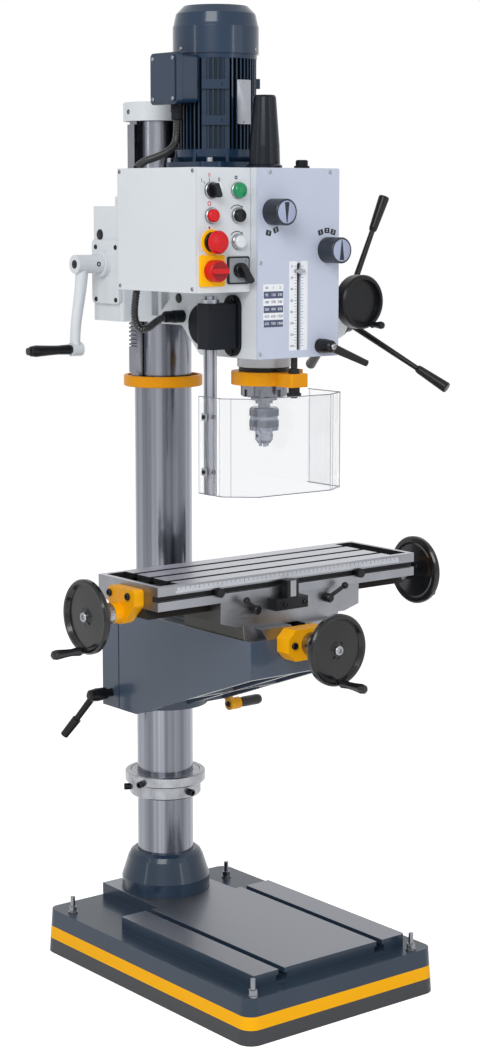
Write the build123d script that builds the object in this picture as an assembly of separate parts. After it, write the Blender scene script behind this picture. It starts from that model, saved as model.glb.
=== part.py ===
from build123d import *
import math
import os

# Mill drill on a round column. Millimetres, +Z up, +Y towards the column.
# The origin is the centre of the base's underside, on the floor.

# Fits and clearances
RUN = 0.05          # radial running clearance of a shaft in its bore
FREE = 0.3          # clearance between pieces that move past each other
SLIDE = 0.06        # gap between flat sliding faces

# Base
BASE_W, BASE_L, BASE_H = 440.0, 636.0, 85.0
BASE_SPREAD = 6.0   # outward draft of each side over the height
BASE_CORNER = 22.0
BASE_WALL, BASE_DECK, BASE_RIB = 14.0, 15.0, 14.0
PLATE_W, PLATE_FRONT, PLATE_REAR, PLATE_RISE = 360.0, -282.0, 122.0, 25.0
TONGUE_W, TONGUE_REAR = 196.0, 316.0
SEAT_DEEP, SEAT_GAP = 1.0, 0.4   # spot face under the column foot
SLOT_X, SLOT_MOUTH, SLOT_WIDE, SLOT_NECK, SLOT_DEPTH = 117.0, 14.0, 24.0, 10.0, 22.0
NOTCH_R = 34.0
STUD_R, STUD_TOP = 4.5, BASE_H + 33.0
STUD_AT = [(-200.0, 260.0), (172.0, 250.0), (-202.0, -307.0), (176.0, -304.0)]

# Column
COL_Y, COL_R, COL_WALL = 225.0, 55.0, 10.0
PLATE_TOP = BASE_H + PLATE_RISE
SEAT_Z = PLATE_TOP - SEAT_DEEP
FOOT_R, FOOT_BAND, FOOT_TOP_R, FOOT_H = 87.0, 27.0, 65.0, 81.0
COLLAR_R, COLLAR_SMALL_R, COLLAR_LOW, COLLAR_H, COLLAR_RIM = 79.0, 70.0, 303.0, 26.0, 21.0
COLLAR_SPLIT = COLLAR_LOW + COLLAR_H
COLLAR_TOP = COLLAR_SPLIT + COLLAR_RIM

# Racks on the column
RACK_W, RACK_IN, RACK_OUT = 22.0, COL_R + 0.5, COL_R + 17.0
RACK_MODULE, RACK_ADD, RACK_DED = 2.5, 1.6, 2.9
TAIL_OUT, TAIL_SEAT, GROOVE_DEEP = COL_R + 11.5, 7.5, 8.0
GROOVE_R = COL_R + 13.5

# Head
HEAD_W, HEAD_FRONT, HEAD_REAR = 186.0, -178.0, 140.0
HEAD_LOW, HEAD_H = 1187.0, 332.0
HEAD_TOP = HEAD_LOW + HEAD_H
BELLY_RISE = 51.0   # the rear of the gearbox and the sleeve start this much higher
HEAD_SLOPE = (-15.0, 39.0)
SLEEVE_R, SLEEVE_LOW, SLEEVE_H = 88.0, HEAD_LOW + BELLY_RISE, 232.0
SLEEVE_TOP = SLEEVE_LOW + SLEEVE_H
NECK_W, POCKET_DEEP = 150.0, 14.0
PANEL_T = 4.0
PANEL_FACE = HEAD_FRONT - PANEL_T
CASE_X, CASE_Y0, CASE_Y1, CASE_H = -118.0, 193.0, 289.0, 214.0
CASE_TOP = SLEEVE_LOW + CASE_H
CRANK_Y, CRANK_Z = 243.0, SLEEVE_LOW + CASE_H / 2
HEAD_RAISE = 130.0  # how far the head is wound up from where it stands

# Rings on the column below and above the head's travel
RING_R, RING_H, RING_DROP = 76.0, 21.0, 106.0
RING_TOP = SLEEVE_LOW - RING_DROP
RING_LOW = RING_TOP - RING_H
CAP_R, CAP_H, CAP_CLEAR = 73.0, 35.0, 140.0
CAP_LOW = SLEEVE_TOP + CAP_CLEAR
CAP_TOP = CAP_LOW + CAP_H

# Quill, spindle and feed
SPIN_Y = -85.0
QUILL_R, QUILL_DROP, QUILL_L = 40.0, 75.0, 298.0
QUILL_LOW = HEAD_LOW - QUILL_DROP
QUILL_TOP = QUILL_LOW + QUILL_L
NOSE_R, NOSE_TOP = 42.6, QUILL_LOW + 22.0
HOUSING_R, HOUSING_LOW = 49.0, HEAD_LOW - 21.0
CLAMP_R, CLAMP_LUG_W, CLAMP_LUG_Y, CLAMP_GAP = 60.0, 40.0, -187.0, 8.0
ROD_Y, ROD_R, ROD_SLOT_H, ROD_TRAVEL_H = -170.0, 6.0, 253.0, 205.0
QUILL_MODULE, PINION_TEETH = 2.0, 16
QUILL_ADD, QUILL_DED = 1.6, 2.4
QUILL_STROKE = 130.0
PITCH_LINE = 38.0
PINION_R = QUILL_MODULE * PINION_TEETH / 2
FEED_Y = SPIN_Y + PITCH_LINE + PINION_R
FEED_Z = HEAD_LOW + 55.0
FEED_R, FEED_END = 38.0, 216.0
SHAFT_R = 12.0
JOURNAL_R = 22.0
LEVER_L, LEVER_CONE, LEVER_LEAN = 247.0, 22.5, 3.0
LEVER_ROOT_R, LEVER_END_R = 6.2, 5.0
FINE_X, FINE_Z, FINE_R, FINE_FACE = 163.0, FEED_Z + 38.0, 49.0, -172.0
CHUCK_Z = QUILL_LOW - 28.0   # small end of the spindle's taper, where the chuck sits

# Control box on the head's left side
BOX_X0, BOX_X1, BOX_Y0, BOX_Y1 = -211.5, -93.0, -163.0, 67.0
BOX_H, BOX_WALL = 214.0, 3.0
BOX_Z1 = HEAD_TOP
BOX_Z0 = BOX_Z1 - BOX_H
COL_A, COL_B = -180.0, -122.0
ROW_1, ROW_2, ROW_3, ROW_4 = BOX_Z1 - 39.0, BOX_Z1 - 82.0, BOX_Z1 - 127.0, BOX_Z1 - 176.0
PUSH_R, PUSH_STEM_R = 11.0, 6.0

# Motor
MOTOR_Y = 57.0
MOTOR_R, FIN_R, FIN_COUNT, FIN_T = 66.0, 74.0, 52, 2.6
MOTOR_FLANGE, MOTOR_L, FAN_H, FAN_R = 35.0, 206.0, 86.0, 78.5
MOTOR_TOP = HEAD_TOP + MOTOR_L
FAN_TOP = MOTOR_TOP + FAN_H
PAD_W, PAD_R, PAD_TURN, PAD_LUG_H = 50.0, 71.0, -128.0, 17.0
TERM = (-122.0, -72.0, 15.0, 95.0, MOTOR_TOP - 92.0, MOTOR_TOP - 1.0)
COVER_H = 129.0

# Guard
BRACKET_FOOT, BRACKET_RISE = 17.0, 80.0
POST_X, POST_Y, POST_W, POST_L = -140.0, -107.0, 18.0, 352.0
POST_TOP = HEAD_LOW + 110.0
POST_LOW = POST_TOP - POST_L
SCREEN_T, SCREEN_H, SCREEN_LOW = 4.0, 173.0, POST_LOW + 2.0

# Knee
KNEE_W, KNEE_FRONT, KNEE_REAR = 220.0, -185.0, 280.0
KNEE_TOP, KNEE_H, KNEE_NOSE_H, KNEE_HEEL = 685.0, 198.0, 69.0, 168.0
KNEE_LOW, KNEE_NOSE = KNEE_TOP - KNEE_H, KNEE_TOP - KNEE_NOSE_H
KNEE_WALL, KNEE_SLEEVE_R = 14.0, 84.0
WAY_LOW_W, WAY_TOP_W, WAY_H, WAY_REAR = 72.0, 86.0, 21.0, 112.0
CROSS_Z, SCREW_R = KNEE_TOP - 10.0, 8.0
BRACKET_W, BRACKET_T, BRACKET_LOW, BRACKET_TOP = 100.0, 34.0, KNEE_TOP - 39.0, KNEE_TOP + 18.0
KNEE_TEETH = 12
KNEE_PINION_R = RACK_MODULE * KNEE_TEETH / 2
KNEE_CRANK_Y = COL_Y + RACK_OUT - RACK_ADD + KNEE_PINION_R
KNEE_CRANK_Z = KNEE_LOW + 53.0
CLAMP_Y, CLAMP_Z = 252.0, KNEE_LOW + 28.0

# Saddle and table
SADDLE_W, SADDLE_FRONT, SADDLE_REAR, SADDLE_H = 324.0, -165.0, 14.0, 75.0
TABLE_L, TABLE_W, TABLE_T = 600.0, 180.0, 43.0
TABLE_LOW = KNEE_TOP + SADDLE_H
TABLE_TOP = TABLE_LOW + TABLE_T
TABLE_Y = -76.0
TABLE_WAY_TOP, TABLE_WAY_LOW, TABLE_WAY_H = 50.0, 61.0, 18.0
TEE_PITCH, TEE_MOUTH, TEE_WIDE, TEE_NECK, TEE_DEPTH = 50.0, 12.0, 21.0, 9.0, 18.0
SCREW_Z = TABLE_LOW - 11.0
WHEEL_R, WHEEL_X, HANDLE_L = 66.0, 392.0, 70.0
HANDLE_PHASE = {-1: 0.0, 1: 22.0}  # degrees past straight down, by hand
CROSS_WHEEL_R, CROSS_FACE, CROSS_HANDLE_L = 65.0, -296.0, 75.0

# Conduits
HOSE_R, HOSE_BORE, HOSE_ROOT, HOSE_PITCH = 7.0, 4.8, 6.0, 5.0


def along_x(r, x0, x1, y, z):
    """A round bar along X."""
    return Pos((x0 + x1) / 2, y, z) * Rot(0, 90, 0) * Cylinder(r, abs(x1 - x0))


def along_y(r, y0, y1, x, z):
    """A round bar along Y."""
    return Pos(x, (y0 + y1) / 2, z) * Rot(90, 0, 0) * Cylinder(r, abs(y1 - y0))


def along_z(r, z0, z1, x, y):
    """A round bar along Z."""
    return Pos(x, y, (z0 + z1) / 2) * Cylinder(r, abs(z1 - z0))


def block(x0, x1, y0, y1, z0, z1):
    """A plain block between two corners."""
    return Pos((x0 + x1) / 2, (y0 + y1) / 2, (z0 + z1) / 2) * Box(x1 - x0, y1 - y0, z1 - z0)


def outline(*points):
    """A flat face with straight sides."""
    return make_face(Polyline(*points, close=True))


def plan(face, z0, z1):
    """A plan view face raised between two heights."""
    return extrude(Pos(0, 0, z0) * face, z1 - z0)


def side(face, x0, x1):
    """A side view face, drawn in Y and Z, carried along X."""
    return extrude(Plane.YZ.offset(x0) * face, x1 - x0)


def front(face, y0, y1):
    """A front view face, drawn in X and Z, carried along Y from y1 forwards to y0."""
    return extrude(Plane.XZ.offset(-y1) * face, y1 - y0)


def turned(*points):
    """A turned piece about Z from its half section, given as radius and height."""
    face = make_face(Polyline(*[(r, 0, z) for r, z in points], close=True))
    return revolve(face, Axis.Z)


def turn_x(at, sign, *points):
    """A turned piece about an X axis, its heights running towards sign times X."""
    return Pos(*at) * Rot(0, 90 * sign, 0) * turned(*points)


def turn_front(at, *points):
    """A turned piece about a Y axis, its heights running to the front."""
    return Pos(*at) * Rot(90, 0, 0) * turned(*points)


def rod_between(a, b, r0, r1=None):
    """A straight or tapered bar between two points."""
    a, b = Vector(*a), Vector(*b)
    frame = Plane(a, z_dir=(b - a).normalized())
    length = (b - a).length
    if r1 is None or abs(r1 - r0) < 1e-6:
        bar = Pos(0, 0, length / 2) * Cylinder(r0, length)
    else:
        bar = Pos(0, 0, length / 2) * Cone(r0, r1, length)
    return frame.location * bar


def ball(at, towards, r):
    """A ball whose pole points along its arm."""
    half_disc = make_face([ThreePointArc((0, 0, -r), (r, 0, 0), (0, 0, r)), Line((0, 0, r), (0, 0, -r))])
    return Plane(at, z_dir=towards).location * revolve(half_disc, Axis.Z)


def rack_side(base, tip, start, count, module, addendum, dedendum):
    """Side view of a rack: plain back at base, teeth out to tip, running upwards from start."""
    pitch = math.pi * module
    lean = math.tan(math.radians(20))
    out = 1 if tip > base else -1
    line = tip - out * addendum
    points = [(base, start)]
    for i in range(int(count)):
        centre = start + pitch * (i + 0.5)
        for step, reach in ((-1, -dedendum), (-1, addendum), (1, addendum), (1, -dedendum)):
            half = pitch / 4 - lean * reach
            points.append((line + out * reach, centre + step * half))
    points.append((base, start + pitch * count))
    return outline(*points)


def pinion_face(module, teeth, addendum, dedendum, backlash, start):
    """Involute pinion seen along its axis; start is the angle of one tooth's middle."""
    r = module * teeth / 2
    base = r * math.cos(math.radians(20))
    inv20 = math.tan(math.radians(20)) - math.radians(20)
    root, tip = r - dedendum, r + addendum
    half_pitch = math.pi / (2 * teeth) - backlash / (2 * r)
    points = []
    for i in range(teeth):
        mid = start + 2 * math.pi * i / teeth
        flank = []
        for rho in (root, max(base, root), (base + r) / 2, r, (r + tip) / 2, tip):
            a = math.acos(min(1.0, base / max(rho, base)))
            flank.append((rho, half_pitch + inv20 - (math.tan(a) - a)))
        flank = [p for k, p in enumerate(flank) if k == 0 or p[0] > flank[k - 1][0] + 1e-6]
        for rho, half in flank:
            points.append((rho * math.cos(mid - half), rho * math.sin(mid - half)))
        for rho, half in reversed(flank):
            points.append((rho * math.cos(mid + half), rho * math.sin(mid + half)))
    return outline(*points)


def wheel_profile(r, reach, hub_r, bore, dial_r, dial_len):
    """Half section of a dished handwheel, from its dial at height 0 to its hub face at reach."""
    back = reach - 11
    hub = [(bore, 0), (dial_r, 0), (dial_r, dial_len), (hub_r, dial_len), (hub_r, back - 2)]
    rim = [(r - 15, back + 1), (r - 11, back), (r - 3, back), (r, back + 3), (r, reach - 1),
           (r - 3, reach + 2), (r - 8, reach + 2), (r - 12, reach - 5)]
    return hub + rim + [(hub_r + 1, reach - 4), (hub_r - 4, reach), (bore, reach)]


def handle_profile(length, r):
    """Half section of a waisted crank handle standing on height 0."""
    return [(0, 0), (r * 0.62, 0), (r * 0.62, 6), (r * 0.9, 14), (r * 0.72, length * 0.42),
            (r * 0.8, length * 0.6), (r, length * 0.86), (r * 0.86, length * 0.96),
            (r * 0.5, length), (0, length)]


parts = {}

# Base: drafted casting, hollow and ribbed below, with a raised plate and two T-slots.
sole = RectangleRounded(BASE_W + 2 * BASE_SPREAD, BASE_L + 2 * BASE_SPREAD, BASE_CORNER + BASE_SPREAD)
rim = RectangleRounded(BASE_W, BASE_L, BASE_CORNER)
base = loft([sole, Pos(0, 0, BASE_H) * rim])
inner_sole = RectangleRounded(BASE_W + 2 * (BASE_SPREAD - BASE_WALL), BASE_L + 2 * (BASE_SPREAD - BASE_WALL),
                              BASE_CORNER + BASE_SPREAD - BASE_WALL)
inner_roof = RectangleRounded(BASE_W - 2 * BASE_WALL, BASE_L - 2 * BASE_WALL, BASE_CORNER - BASE_WALL)
hollow = loft([inner_sole, Pos(0, 0, BASE_H - BASE_DECK) * inner_roof])
ribs = [block(x - BASE_RIB / 2, x + BASE_RIB / 2, -BASE_L / 2, BASE_L / 2, 0, BASE_H)
        for x in (-SLOT_X, 0, SLOT_X)]
for y in (-BASE_L / 3, -BASE_L / 6, 0, COL_Y / 2, COL_Y):
    ribs.append(block(-BASE_W / 2, BASE_W / 2, y - BASE_RIB / 2, y + BASE_RIB / 2, 0, BASE_H))
for x, y in STUD_AT:
    ribs.append(along_z(STUD_R + 14, 0, BASE_H, x, y))
hollow -= ribs
base -= hollow
deck = Pos(0, (PLATE_FRONT + PLATE_REAR) / 2) * Rectangle(PLATE_W, PLATE_REAR - PLATE_FRONT)
deck += outline((-TONGUE_W / 2, 0), (TONGUE_W / 2, 0), (TONGUE_W / 2 - 8, TONGUE_REAR),
                (8 - TONGUE_W / 2, TONGUE_REAR))
for x, y in STUD_AT[2:]:
    deck -= Pos(math.copysign(max(abs(s[0]) for s in STUD_AT[2:]), x), y) * Circle(NOTCH_R)
base += plan(deck, BASE_H - 1, PLATE_TOP)
for x in (-SLOT_X, SLOT_X):
    tee = outline((x - SLOT_MOUTH / 2, PLATE_TOP + 1), (x - SLOT_MOUTH / 2, PLATE_TOP - SLOT_NECK),
                  (x - SLOT_WIDE / 2, PLATE_TOP - SLOT_NECK), (x - SLOT_WIDE / 2, PLATE_TOP - SLOT_DEPTH),
                  (x + SLOT_WIDE / 2, PLATE_TOP - SLOT_DEPTH), (x + SLOT_WIDE / 2, PLATE_TOP - SLOT_NECK),
                  (x + SLOT_MOUTH / 2, PLATE_TOP - SLOT_NECK), (x + SLOT_MOUTH / 2, PLATE_TOP + 1))
    base -= front(tee, PLATE_FRONT - 5, PLATE_REAR + 5)
studs = []
for x, y in STUD_AT:
    base -= along_z(STUD_R + FREE, -1, BASE_H + 1, x, y)
    nut = plan(Pos(x, y) * RegularPolygon(STUD_R * 1.84, 6), BASE_H + 3, BASE_H + 13)
    stud = along_z(STUD_R, 1, STUD_TOP, x, y) + along_z(STUD_R * 2.1, BASE_H, BASE_H + 3, x, y) + nut
    studs.append(stud)
base -= along_z(FOOT_R + SEAT_GAP, SEAT_Z, PLATE_TOP + 1, 0, COL_Y)
parts["base"] = base
parts["levelling_studs"] = Compound(children=studs)

# Column, its foot, cap and rings.
foot = turned((COL_R, 0), (FOOT_R, 0), (FOOT_R, FOOT_BAND), (FOOT_R - 4, FOOT_BAND + 12),
              (FOOT_TOP_R + 9, FOOT_H - 14), (FOOT_TOP_R + 4, FOOT_H - 5), (FOOT_TOP_R - 3, FOOT_H),
              (COL_R, FOOT_H))
parts["column_foot"] = Pos(0, COL_Y, SEAT_Z) * foot
parts["column"] = Pos(0, COL_Y, 0) * turned((COL_R - COL_WALL, SEAT_Z), (COL_R, SEAT_Z),
                                            (COL_R, CAP_TOP - 5), (COL_R - COL_WALL, CAP_TOP - 5))
parts["column_cap"] = Pos(0, COL_Y, 0) * turned(
    (0, CAP_TOP - 5), (COL_R, CAP_TOP - 5), (COL_R, CAP_LOW + GROOVE_DEEP), (GROOVE_R, CAP_LOW + GROOVE_DEEP),
    (GROOVE_R, CAP_LOW), (CAP_R, CAP_LOW), (CAP_R, CAP_TOP - 1.5), (CAP_R - 1.5, CAP_TOP), (0, CAP_TOP))
ring = turned((COL_R, RING_LOW + GROOVE_DEEP), (GROOVE_R, RING_LOW + GROOVE_DEEP), (GROOVE_R, RING_LOW),
              (RING_R - 1.5, RING_LOW), (RING_R, RING_LOW + 1.5), (RING_R, RING_TOP - 1.5),
              (RING_R - 1.5, RING_TOP), (GROOVE_R, RING_TOP), (GROOVE_R, RING_TOP - GROOVE_DEEP),
              (COL_R, RING_TOP - GROOVE_DEEP))
parts["head_rack_ring"] = Pos(0, COL_Y, 0) * ring
upper = turned((COL_R, COLLAR_SPLIT), (COLLAR_R - 2, COLLAR_SPLIT), (COLLAR_R, COLLAR_SPLIT + 2),
               (COLLAR_R, COLLAR_TOP - 2), (COLLAR_R - 2, COLLAR_TOP), (GROOVE_R, COLLAR_TOP),
               (GROOVE_R, COLLAR_TOP - GROOVE_DEEP), (COL_R, COLLAR_TOP - GROOVE_DEEP))
lower = turned((COL_R, COLLAR_LOW), (COLLAR_SMALL_R - 2, COLLAR_LOW), (COLLAR_SMALL_R, COLLAR_LOW + 2),
               (COLLAR_SMALL_R, COLLAR_SPLIT), (COL_R, COLLAR_SPLIT))
parts["lower_collar"] = Pos(0, COL_Y, 0) * Compound(children=[upper, lower])


def column_rack(low, high, first, count):
    """A rack standing beside the column on +X, tails seated in the grooves at both ends."""
    bar = block(RACK_IN, TAIL_OUT, -RACK_W / 2, RACK_W / 2, low, high)
    end = first + math.pi * RACK_MODULE * count
    back = RACK_OUT - RACK_ADD - RACK_DED
    bar += block(RACK_IN, back, -RACK_W / 2, RACK_W / 2, low + 14, high - 14)
    plain = [block(RACK_IN, RACK_OUT, -RACK_W / 2, RACK_W / 2, low + 14, first)]
    plain.append(block(RACK_IN, RACK_OUT, -RACK_W / 2, RACK_W / 2, end, high - 14))
    teeth = rack_side(RACK_IN, RACK_OUT, first, count, RACK_MODULE, RACK_ADD, RACK_DED)
    toothed = extrude(Plane.XZ.offset(-RACK_W / 2) * teeth, RACK_W)
    return bar + plain + toothed


PITCH = math.pi * RACK_MODULE
head_low, head_high = RING_TOP - TAIL_SEAT, CAP_LOW + TAIL_SEAT
head_first = SLEEVE_LOW - 50
head_count = int((CRANK_Z + HEAD_RAISE + 20 - head_first) / PITCH)
head_rack = column_rack(head_low, head_high, head_first, head_count)
parts["head_rack"] = Pos(0, COL_Y, 0) * Rot(0, 0, 180) * head_rack
knee_low, knee_high = COLLAR_TOP - TAIL_SEAT, RING_LOW + TAIL_SEAT
knee_first = KNEE_CRANK_Z - PITCH * (int((KNEE_CRANK_Z - COLLAR_TOP - 25) / PITCH) + 0.5)
knee_count = int((knee_high - 30 - knee_first) / PITCH)
knee_rack = column_rack(knee_low, knee_high, knee_first, knee_count)
parts["knee_rack"] = Pos(0, COL_Y, 0) * Rot(0, 0, 90) * knee_rack

# Head casting: gearbox with a sloped belly, neck and split sleeve, lift gearcase and feed housing.
slope_y, slope_end = HEAD_SLOPE
half = HEAD_W / 2
gearbox = outline((HEAD_FRONT, HEAD_LOW), (slope_y, HEAD_LOW), (slope_end, SLEEVE_LOW),
                  (HEAD_REAR, SLEEVE_LOW), (HEAD_REAR, HEAD_TOP), (HEAD_FRONT, HEAD_TOP))
gearbox = fillet(gearbox.vertices().filter_by_position(Axis.X, slope_y - 1, HEAD_REAR + 1), 14)
head = side(gearbox, -half, half)
neck = outline((-NECK_W / 2, HEAD_REAR - 20), (NECK_W / 2, HEAD_REAR - 20), (SLEEVE_R - 3, COL_Y),
               (3 - SLEEVE_R, COL_Y))
sleeve = Pos(0, COL_Y) * Circle(SLEEVE_R) + neck
sleeve += Pos(0, COL_Y + SLEEVE_R + 4) * RectangleRounded(64, 48, 8)
head += plan(sleeve, SLEEVE_LOW, SLEEVE_TOP)
case_mid = (CASE_Y0 + CASE_Y1) / 2
case = Pos((CASE_X - 40) / 2, case_mid) * RectangleRounded(-40 - CASE_X, CASE_Y1 - CASE_Y0, 8)
head += plan(case, SLEEVE_LOW, CASE_TOP)
lid = Pos(CRANK_Y - 5, CRANK_Z - 15) * RectangleRounded(88, 119, 8)
head += side(lid, CASE_X - 6, CASE_X + 1)
head += along_x(24, CASE_X - 16, CASE_X, CRANK_Y, CRANK_Z)
head += along_z(HOUSING_R, HOUSING_LOW, HEAD_LOW + 1, 0, SPIN_Y)
head += along_x(FEED_R, half - 1, FEED_END, FEED_Y, FEED_Z)
head += along_y(22, FINE_FACE + 52, FEED_Y, FINE_X, FINE_Z)
head += along_x(FEED_R + 6, half - 1, half + 10, FEED_Y, FEED_Z)
cuts = [along_z(COL_R + RUN, SLEEVE_LOW - 1, SLEEVE_TOP + 1, 0, COL_Y)]
cuts.append(block(-RACK_OUT - 2, -30, COL_Y - RACK_W / 2 - FREE, COL_Y + RACK_W / 2 + FREE,
                  SLEEVE_LOW - 1, SLEEVE_TOP + 1))
cuts.append(block(-2.5, 2.5, COL_Y + COL_R - 5, COL_Y + SLEEVE_R + 40, SLEEVE_LOW - 1, SLEEVE_TOP + 1))
cuts.append(along_z(QUILL_R + RUN, HOUSING_LOW - 1, QUILL_TOP + 12, 0, SPIN_Y))
cuts.append(along_z(20, QUILL_TOP, HEAD_TOP + 1, 0, SPIN_Y))
cuts.append(along_x(SHAFT_R + RUN, -half + 2, FEED_END + 1, FEED_Y, FEED_Z))
cuts.append(along_x(PINION_R + QUILL_MODULE + 1, -17, 17, FEED_Y, FEED_Z))
cuts.append(block(-9, 9, HEAD_FRONT - 1, ROD_Y + 12, HEAD_LOW - 1, HEAD_LOW + ROD_SLOT_H))
cuts.append(plan(Pos(0, MOTOR_Y) * RectangleRounded(124, 116, 20), SLEEVE_LOW + 18, HEAD_TOP + 1))
cuts.append(along_y(8 + RUN, FINE_FACE + 50, FEED_Y - 14, FINE_X, FINE_Z))
cuts.append(along_x(9 + RUN, CASE_X - 17, -84, CRANK_Y, CRANK_Z))
flank_top = HEAD_TOP - 70
for y0, y1, z0, z1 in ((slope_end + 35, slope_end + 63, SLEEVE_LOW + 47, SLEEVE_LOW + 24),
                       (slope_end + 73, HEAD_REAR - 7, SLEEVE_LOW + 14, SLEEVE_LOW + 14)):
    flank = outline((y0, z0), (y1, z1), (y1, flank_top), (y0, flank_top))
    cuts.append(side(flank, -half - 1, POCKET_DEEP - half))
KNOBS = {"speed_knob_left": (-60.0, HEAD_TOP - 76.0), "speed_knob_right": (66.0, HEAD_TOP - 143.5)}
LOCK_X, LOCK_Z = 50.0, HEAD_LOW + 19.0
for x, z in list(KNOBS.values()) + [(LOCK_X, LOCK_Z)]:
    cuts.append(along_y(6 + RUN, HEAD_FRONT - 1, HEAD_FRONT + 26, x, z))
parts["head_casting"] = head - cuts

panel = Pos(0, (HEAD_LOW + HEAD_TOP) / 2) * RectangleRounded(HEAD_W, HEAD_TOP - HEAD_LOW, 4)
panel -= Pos(0, HEAD_LOW + 90) * SlotOverall(154, 9, rotation=90)
for x, z in list(KNOBS.values()) + [(LOCK_X, LOCK_Z)]:
    panel -= Pos(x, z) * Circle(7.5)
parts["head_panel"] = front(panel, PANEL_FACE, HEAD_FRONT)

# Sheet control box, its cover and its fixed fittings.
shell = plan(Pos((BOX_X0 + BOX_X1) / 2, (BOX_Y0 + BOX_Y1) / 2)
             * RectangleRounded(BOX_X1 - BOX_X0, BOX_Y1 - BOX_Y0, 2), BOX_Z0, BOX_Z1)
shell -= block(BOX_X0 - 1, BOX_X1 - BOX_WALL, BOX_Y0 + BOX_WALL, BOX_Y1 - BOX_WALL,
               BOX_Z0 + BOX_WALL, BOX_Z1 - BOX_WALL)
CONTROLS = {"selector": (COL_A, ROW_1, 5.0), "stop_button": (COL_A, ROW_2, PUSH_STEM_R),
            "start_button": (COL_B, ROW_2, PUSH_STEM_R), "estop_button": (COL_A, ROW_3, 9.0),
            "white_button": (COL_B, ROW_3, PUSH_STEM_R), "main_switch": (COL_A, ROW_4, 5.0),
            "changeover_switch": (COL_B, ROW_4, 5.0)}
STEM_END = BOX_Y0 + 14
for x, z, r in CONTROLS.values():
    shell -= along_y(r + RUN, BOX_Y0 - 1, BOX_Y0 + BOX_WALL + 1, x, z)
parts["control_box"] = shell
lid = Pos((BOX_Y0 + BOX_Y1) / 2, (BOX_Z0 + BOX_Z1) / 2) * RectangleRounded(BOX_Y1 - BOX_Y0, BOX_H, 3)
parts["control_cover"] = side(lid, BOX_X0 - 3, BOX_X0)


def collar(name, outer, inner, depth):
    """A round bezel on the control panel, open round its knob."""
    x, z, _ = CONTROLS[name]
    return turn_front((x, BOX_Y0, z), (inner, 0), (outer, 0), (outer, depth - 1), (outer - 1, depth),
                      (inner, depth))


def switch_plate(name, width, depth):
    """A square switch plate with a hole for the spindle."""
    x, z, r = CONTROLS[name]
    face = Pos(x, z) * RectangleRounded(width, width, 4) - Pos(x, z) * Circle(r + FREE)
    return front(face, BOX_Y0 - depth, BOX_Y0)


lamp = turn_front((COL_B, BOX_Y0, ROW_1), (0, 0), (15, 0), (15, 4), (13, 6), (13, 10), (9, 14), (0, 15.5))
fittings = [lamp, collar("selector", 15, 13.4, 5), collar("estop_button", 22, 9 + FREE, 8)]
fittings += [collar(n, 14, PUSH_R + FREE, 6) for n in ("stop_button", "start_button", "white_button")]
fittings += [switch_plate("main_switch", 54, 4), switch_plate("changeover_switch", 48, 4)]
parts["control_fittings"] = Compound(children=fittings)
for name in ("stop_button", "start_button", "white_button"):
    x, z, r = CONTROLS[name]
    parts[name] = turn_front((x, STEM_END, z), (0, 0), (r, 0), (r, 18), (PUSH_R, 18), (PUSH_R, 24),
                             (PUSH_R - 1.5, 26), (0, 26.5))
x, z, r = CONTROLS["estop_button"]
parts["estop_button"] = turn_front((x, STEM_END, z), (0, 0), (r, 0), (r, 28), (17, 28), (20, 31), (20, 36),
                                   (17, 41), (9, 43), (0, 43.5))


def turn_knob(name, disc, depth, grip_l, grip_w, reach, tilt, offset=0.0, seat=0.0):
    """A rotary switch knob: spindle, disc and a raised grip bar."""
    x, z, r = CONTROLS[name]
    y = BOX_Y0 - seat - FREE
    back = STEM_END - y
    knob = turn_front((x, STEM_END, z), (0, 0), (r, 0), (r, back), (disc, back), (disc, back + depth - 1),
                      (disc - 1, back + depth), (0, back + depth))
    bar = Pos(x, z) * Rot(0, 0, tilt) * Pos(0, offset) * RectangleRounded(grip_w, grip_l, grip_w * 0.35)
    return knob + front(bar, y - reach, y - depth + 1)


parts["selector"] = turn_knob("selector", 13, 8, 25, 9, 22, 20)
parts["main_switch"] = turn_knob("main_switch", 19, 20, 34, 9, 25, 90, seat=4)
parts["changeover_switch"] = turn_knob("changeover_switch", 13, 10, 38, 11, 20, 215, offset=7, seat=4)

# Motor with cooling fins, fan, fan cover and terminal box.
ridge = [Rot(0, 0, 360 / FIN_COUNT * i) * Pos((FIN_R + MOTOR_R) / 2 - 1, 0)
         * Rectangle(FIN_R - MOTOR_R + 2, FIN_T) for i in range(FIN_COUNT)]
finned = Circle(MOTOR_R) + ridge
low = HEAD_TOP + MOTOR_FLANGE
motor = Pos(0, MOTOR_Y, 0) * plan(finned, low, MOTOR_TOP - 8)
motor += Pos(0, MOTOR_Y, 0) * turned((0, HEAD_TOP + 12), (FIN_R - 8, HEAD_TOP + 12),
                                     (FIN_R + 1, HEAD_TOP + 22), (FIN_R + 1, low), (0, low))
motor += Pos(0, MOTOR_Y, 0) * plan(RectangleRounded(150, 150, 34), HEAD_TOP, HEAD_TOP + 13)
motor += along_z(FIN_R + 1, MOTOR_TOP - 9, MOTOR_TOP, 0, MOTOR_Y)
gusset = extrude(Plane.XZ.offset(-3) * outline((FIN_R - 14, HEAD_TOP + 12), (FIN_R + 6, HEAD_TOP + 12),
                                               (FIN_R + 1, low), (FIN_R - 14, low)), 6)
motor += [Pos(0, MOTOR_Y, 0) * Rot(0, 0, 22.5 + 45 * i) * gusset for i in range(8)]
pad = block(MOTOR_R - 10, PAD_R, -PAD_W / 2, PAD_W / 2, low, MOTOR_TOP - 8)
for rise in (MOTOR_L * 0.42, MOTOR_L * 0.73):
    pad += block(MOTOR_R - 10, FIN_R + 3, -PAD_W / 2, PAD_W / 2, HEAD_TOP + rise - PAD_LUG_H / 2,
                 HEAD_TOP + rise + PAD_LUG_H / 2)
motor += Pos(0, MOTOR_Y, 0) * Rot(0, 0, PAD_TURN) * pad
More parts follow.
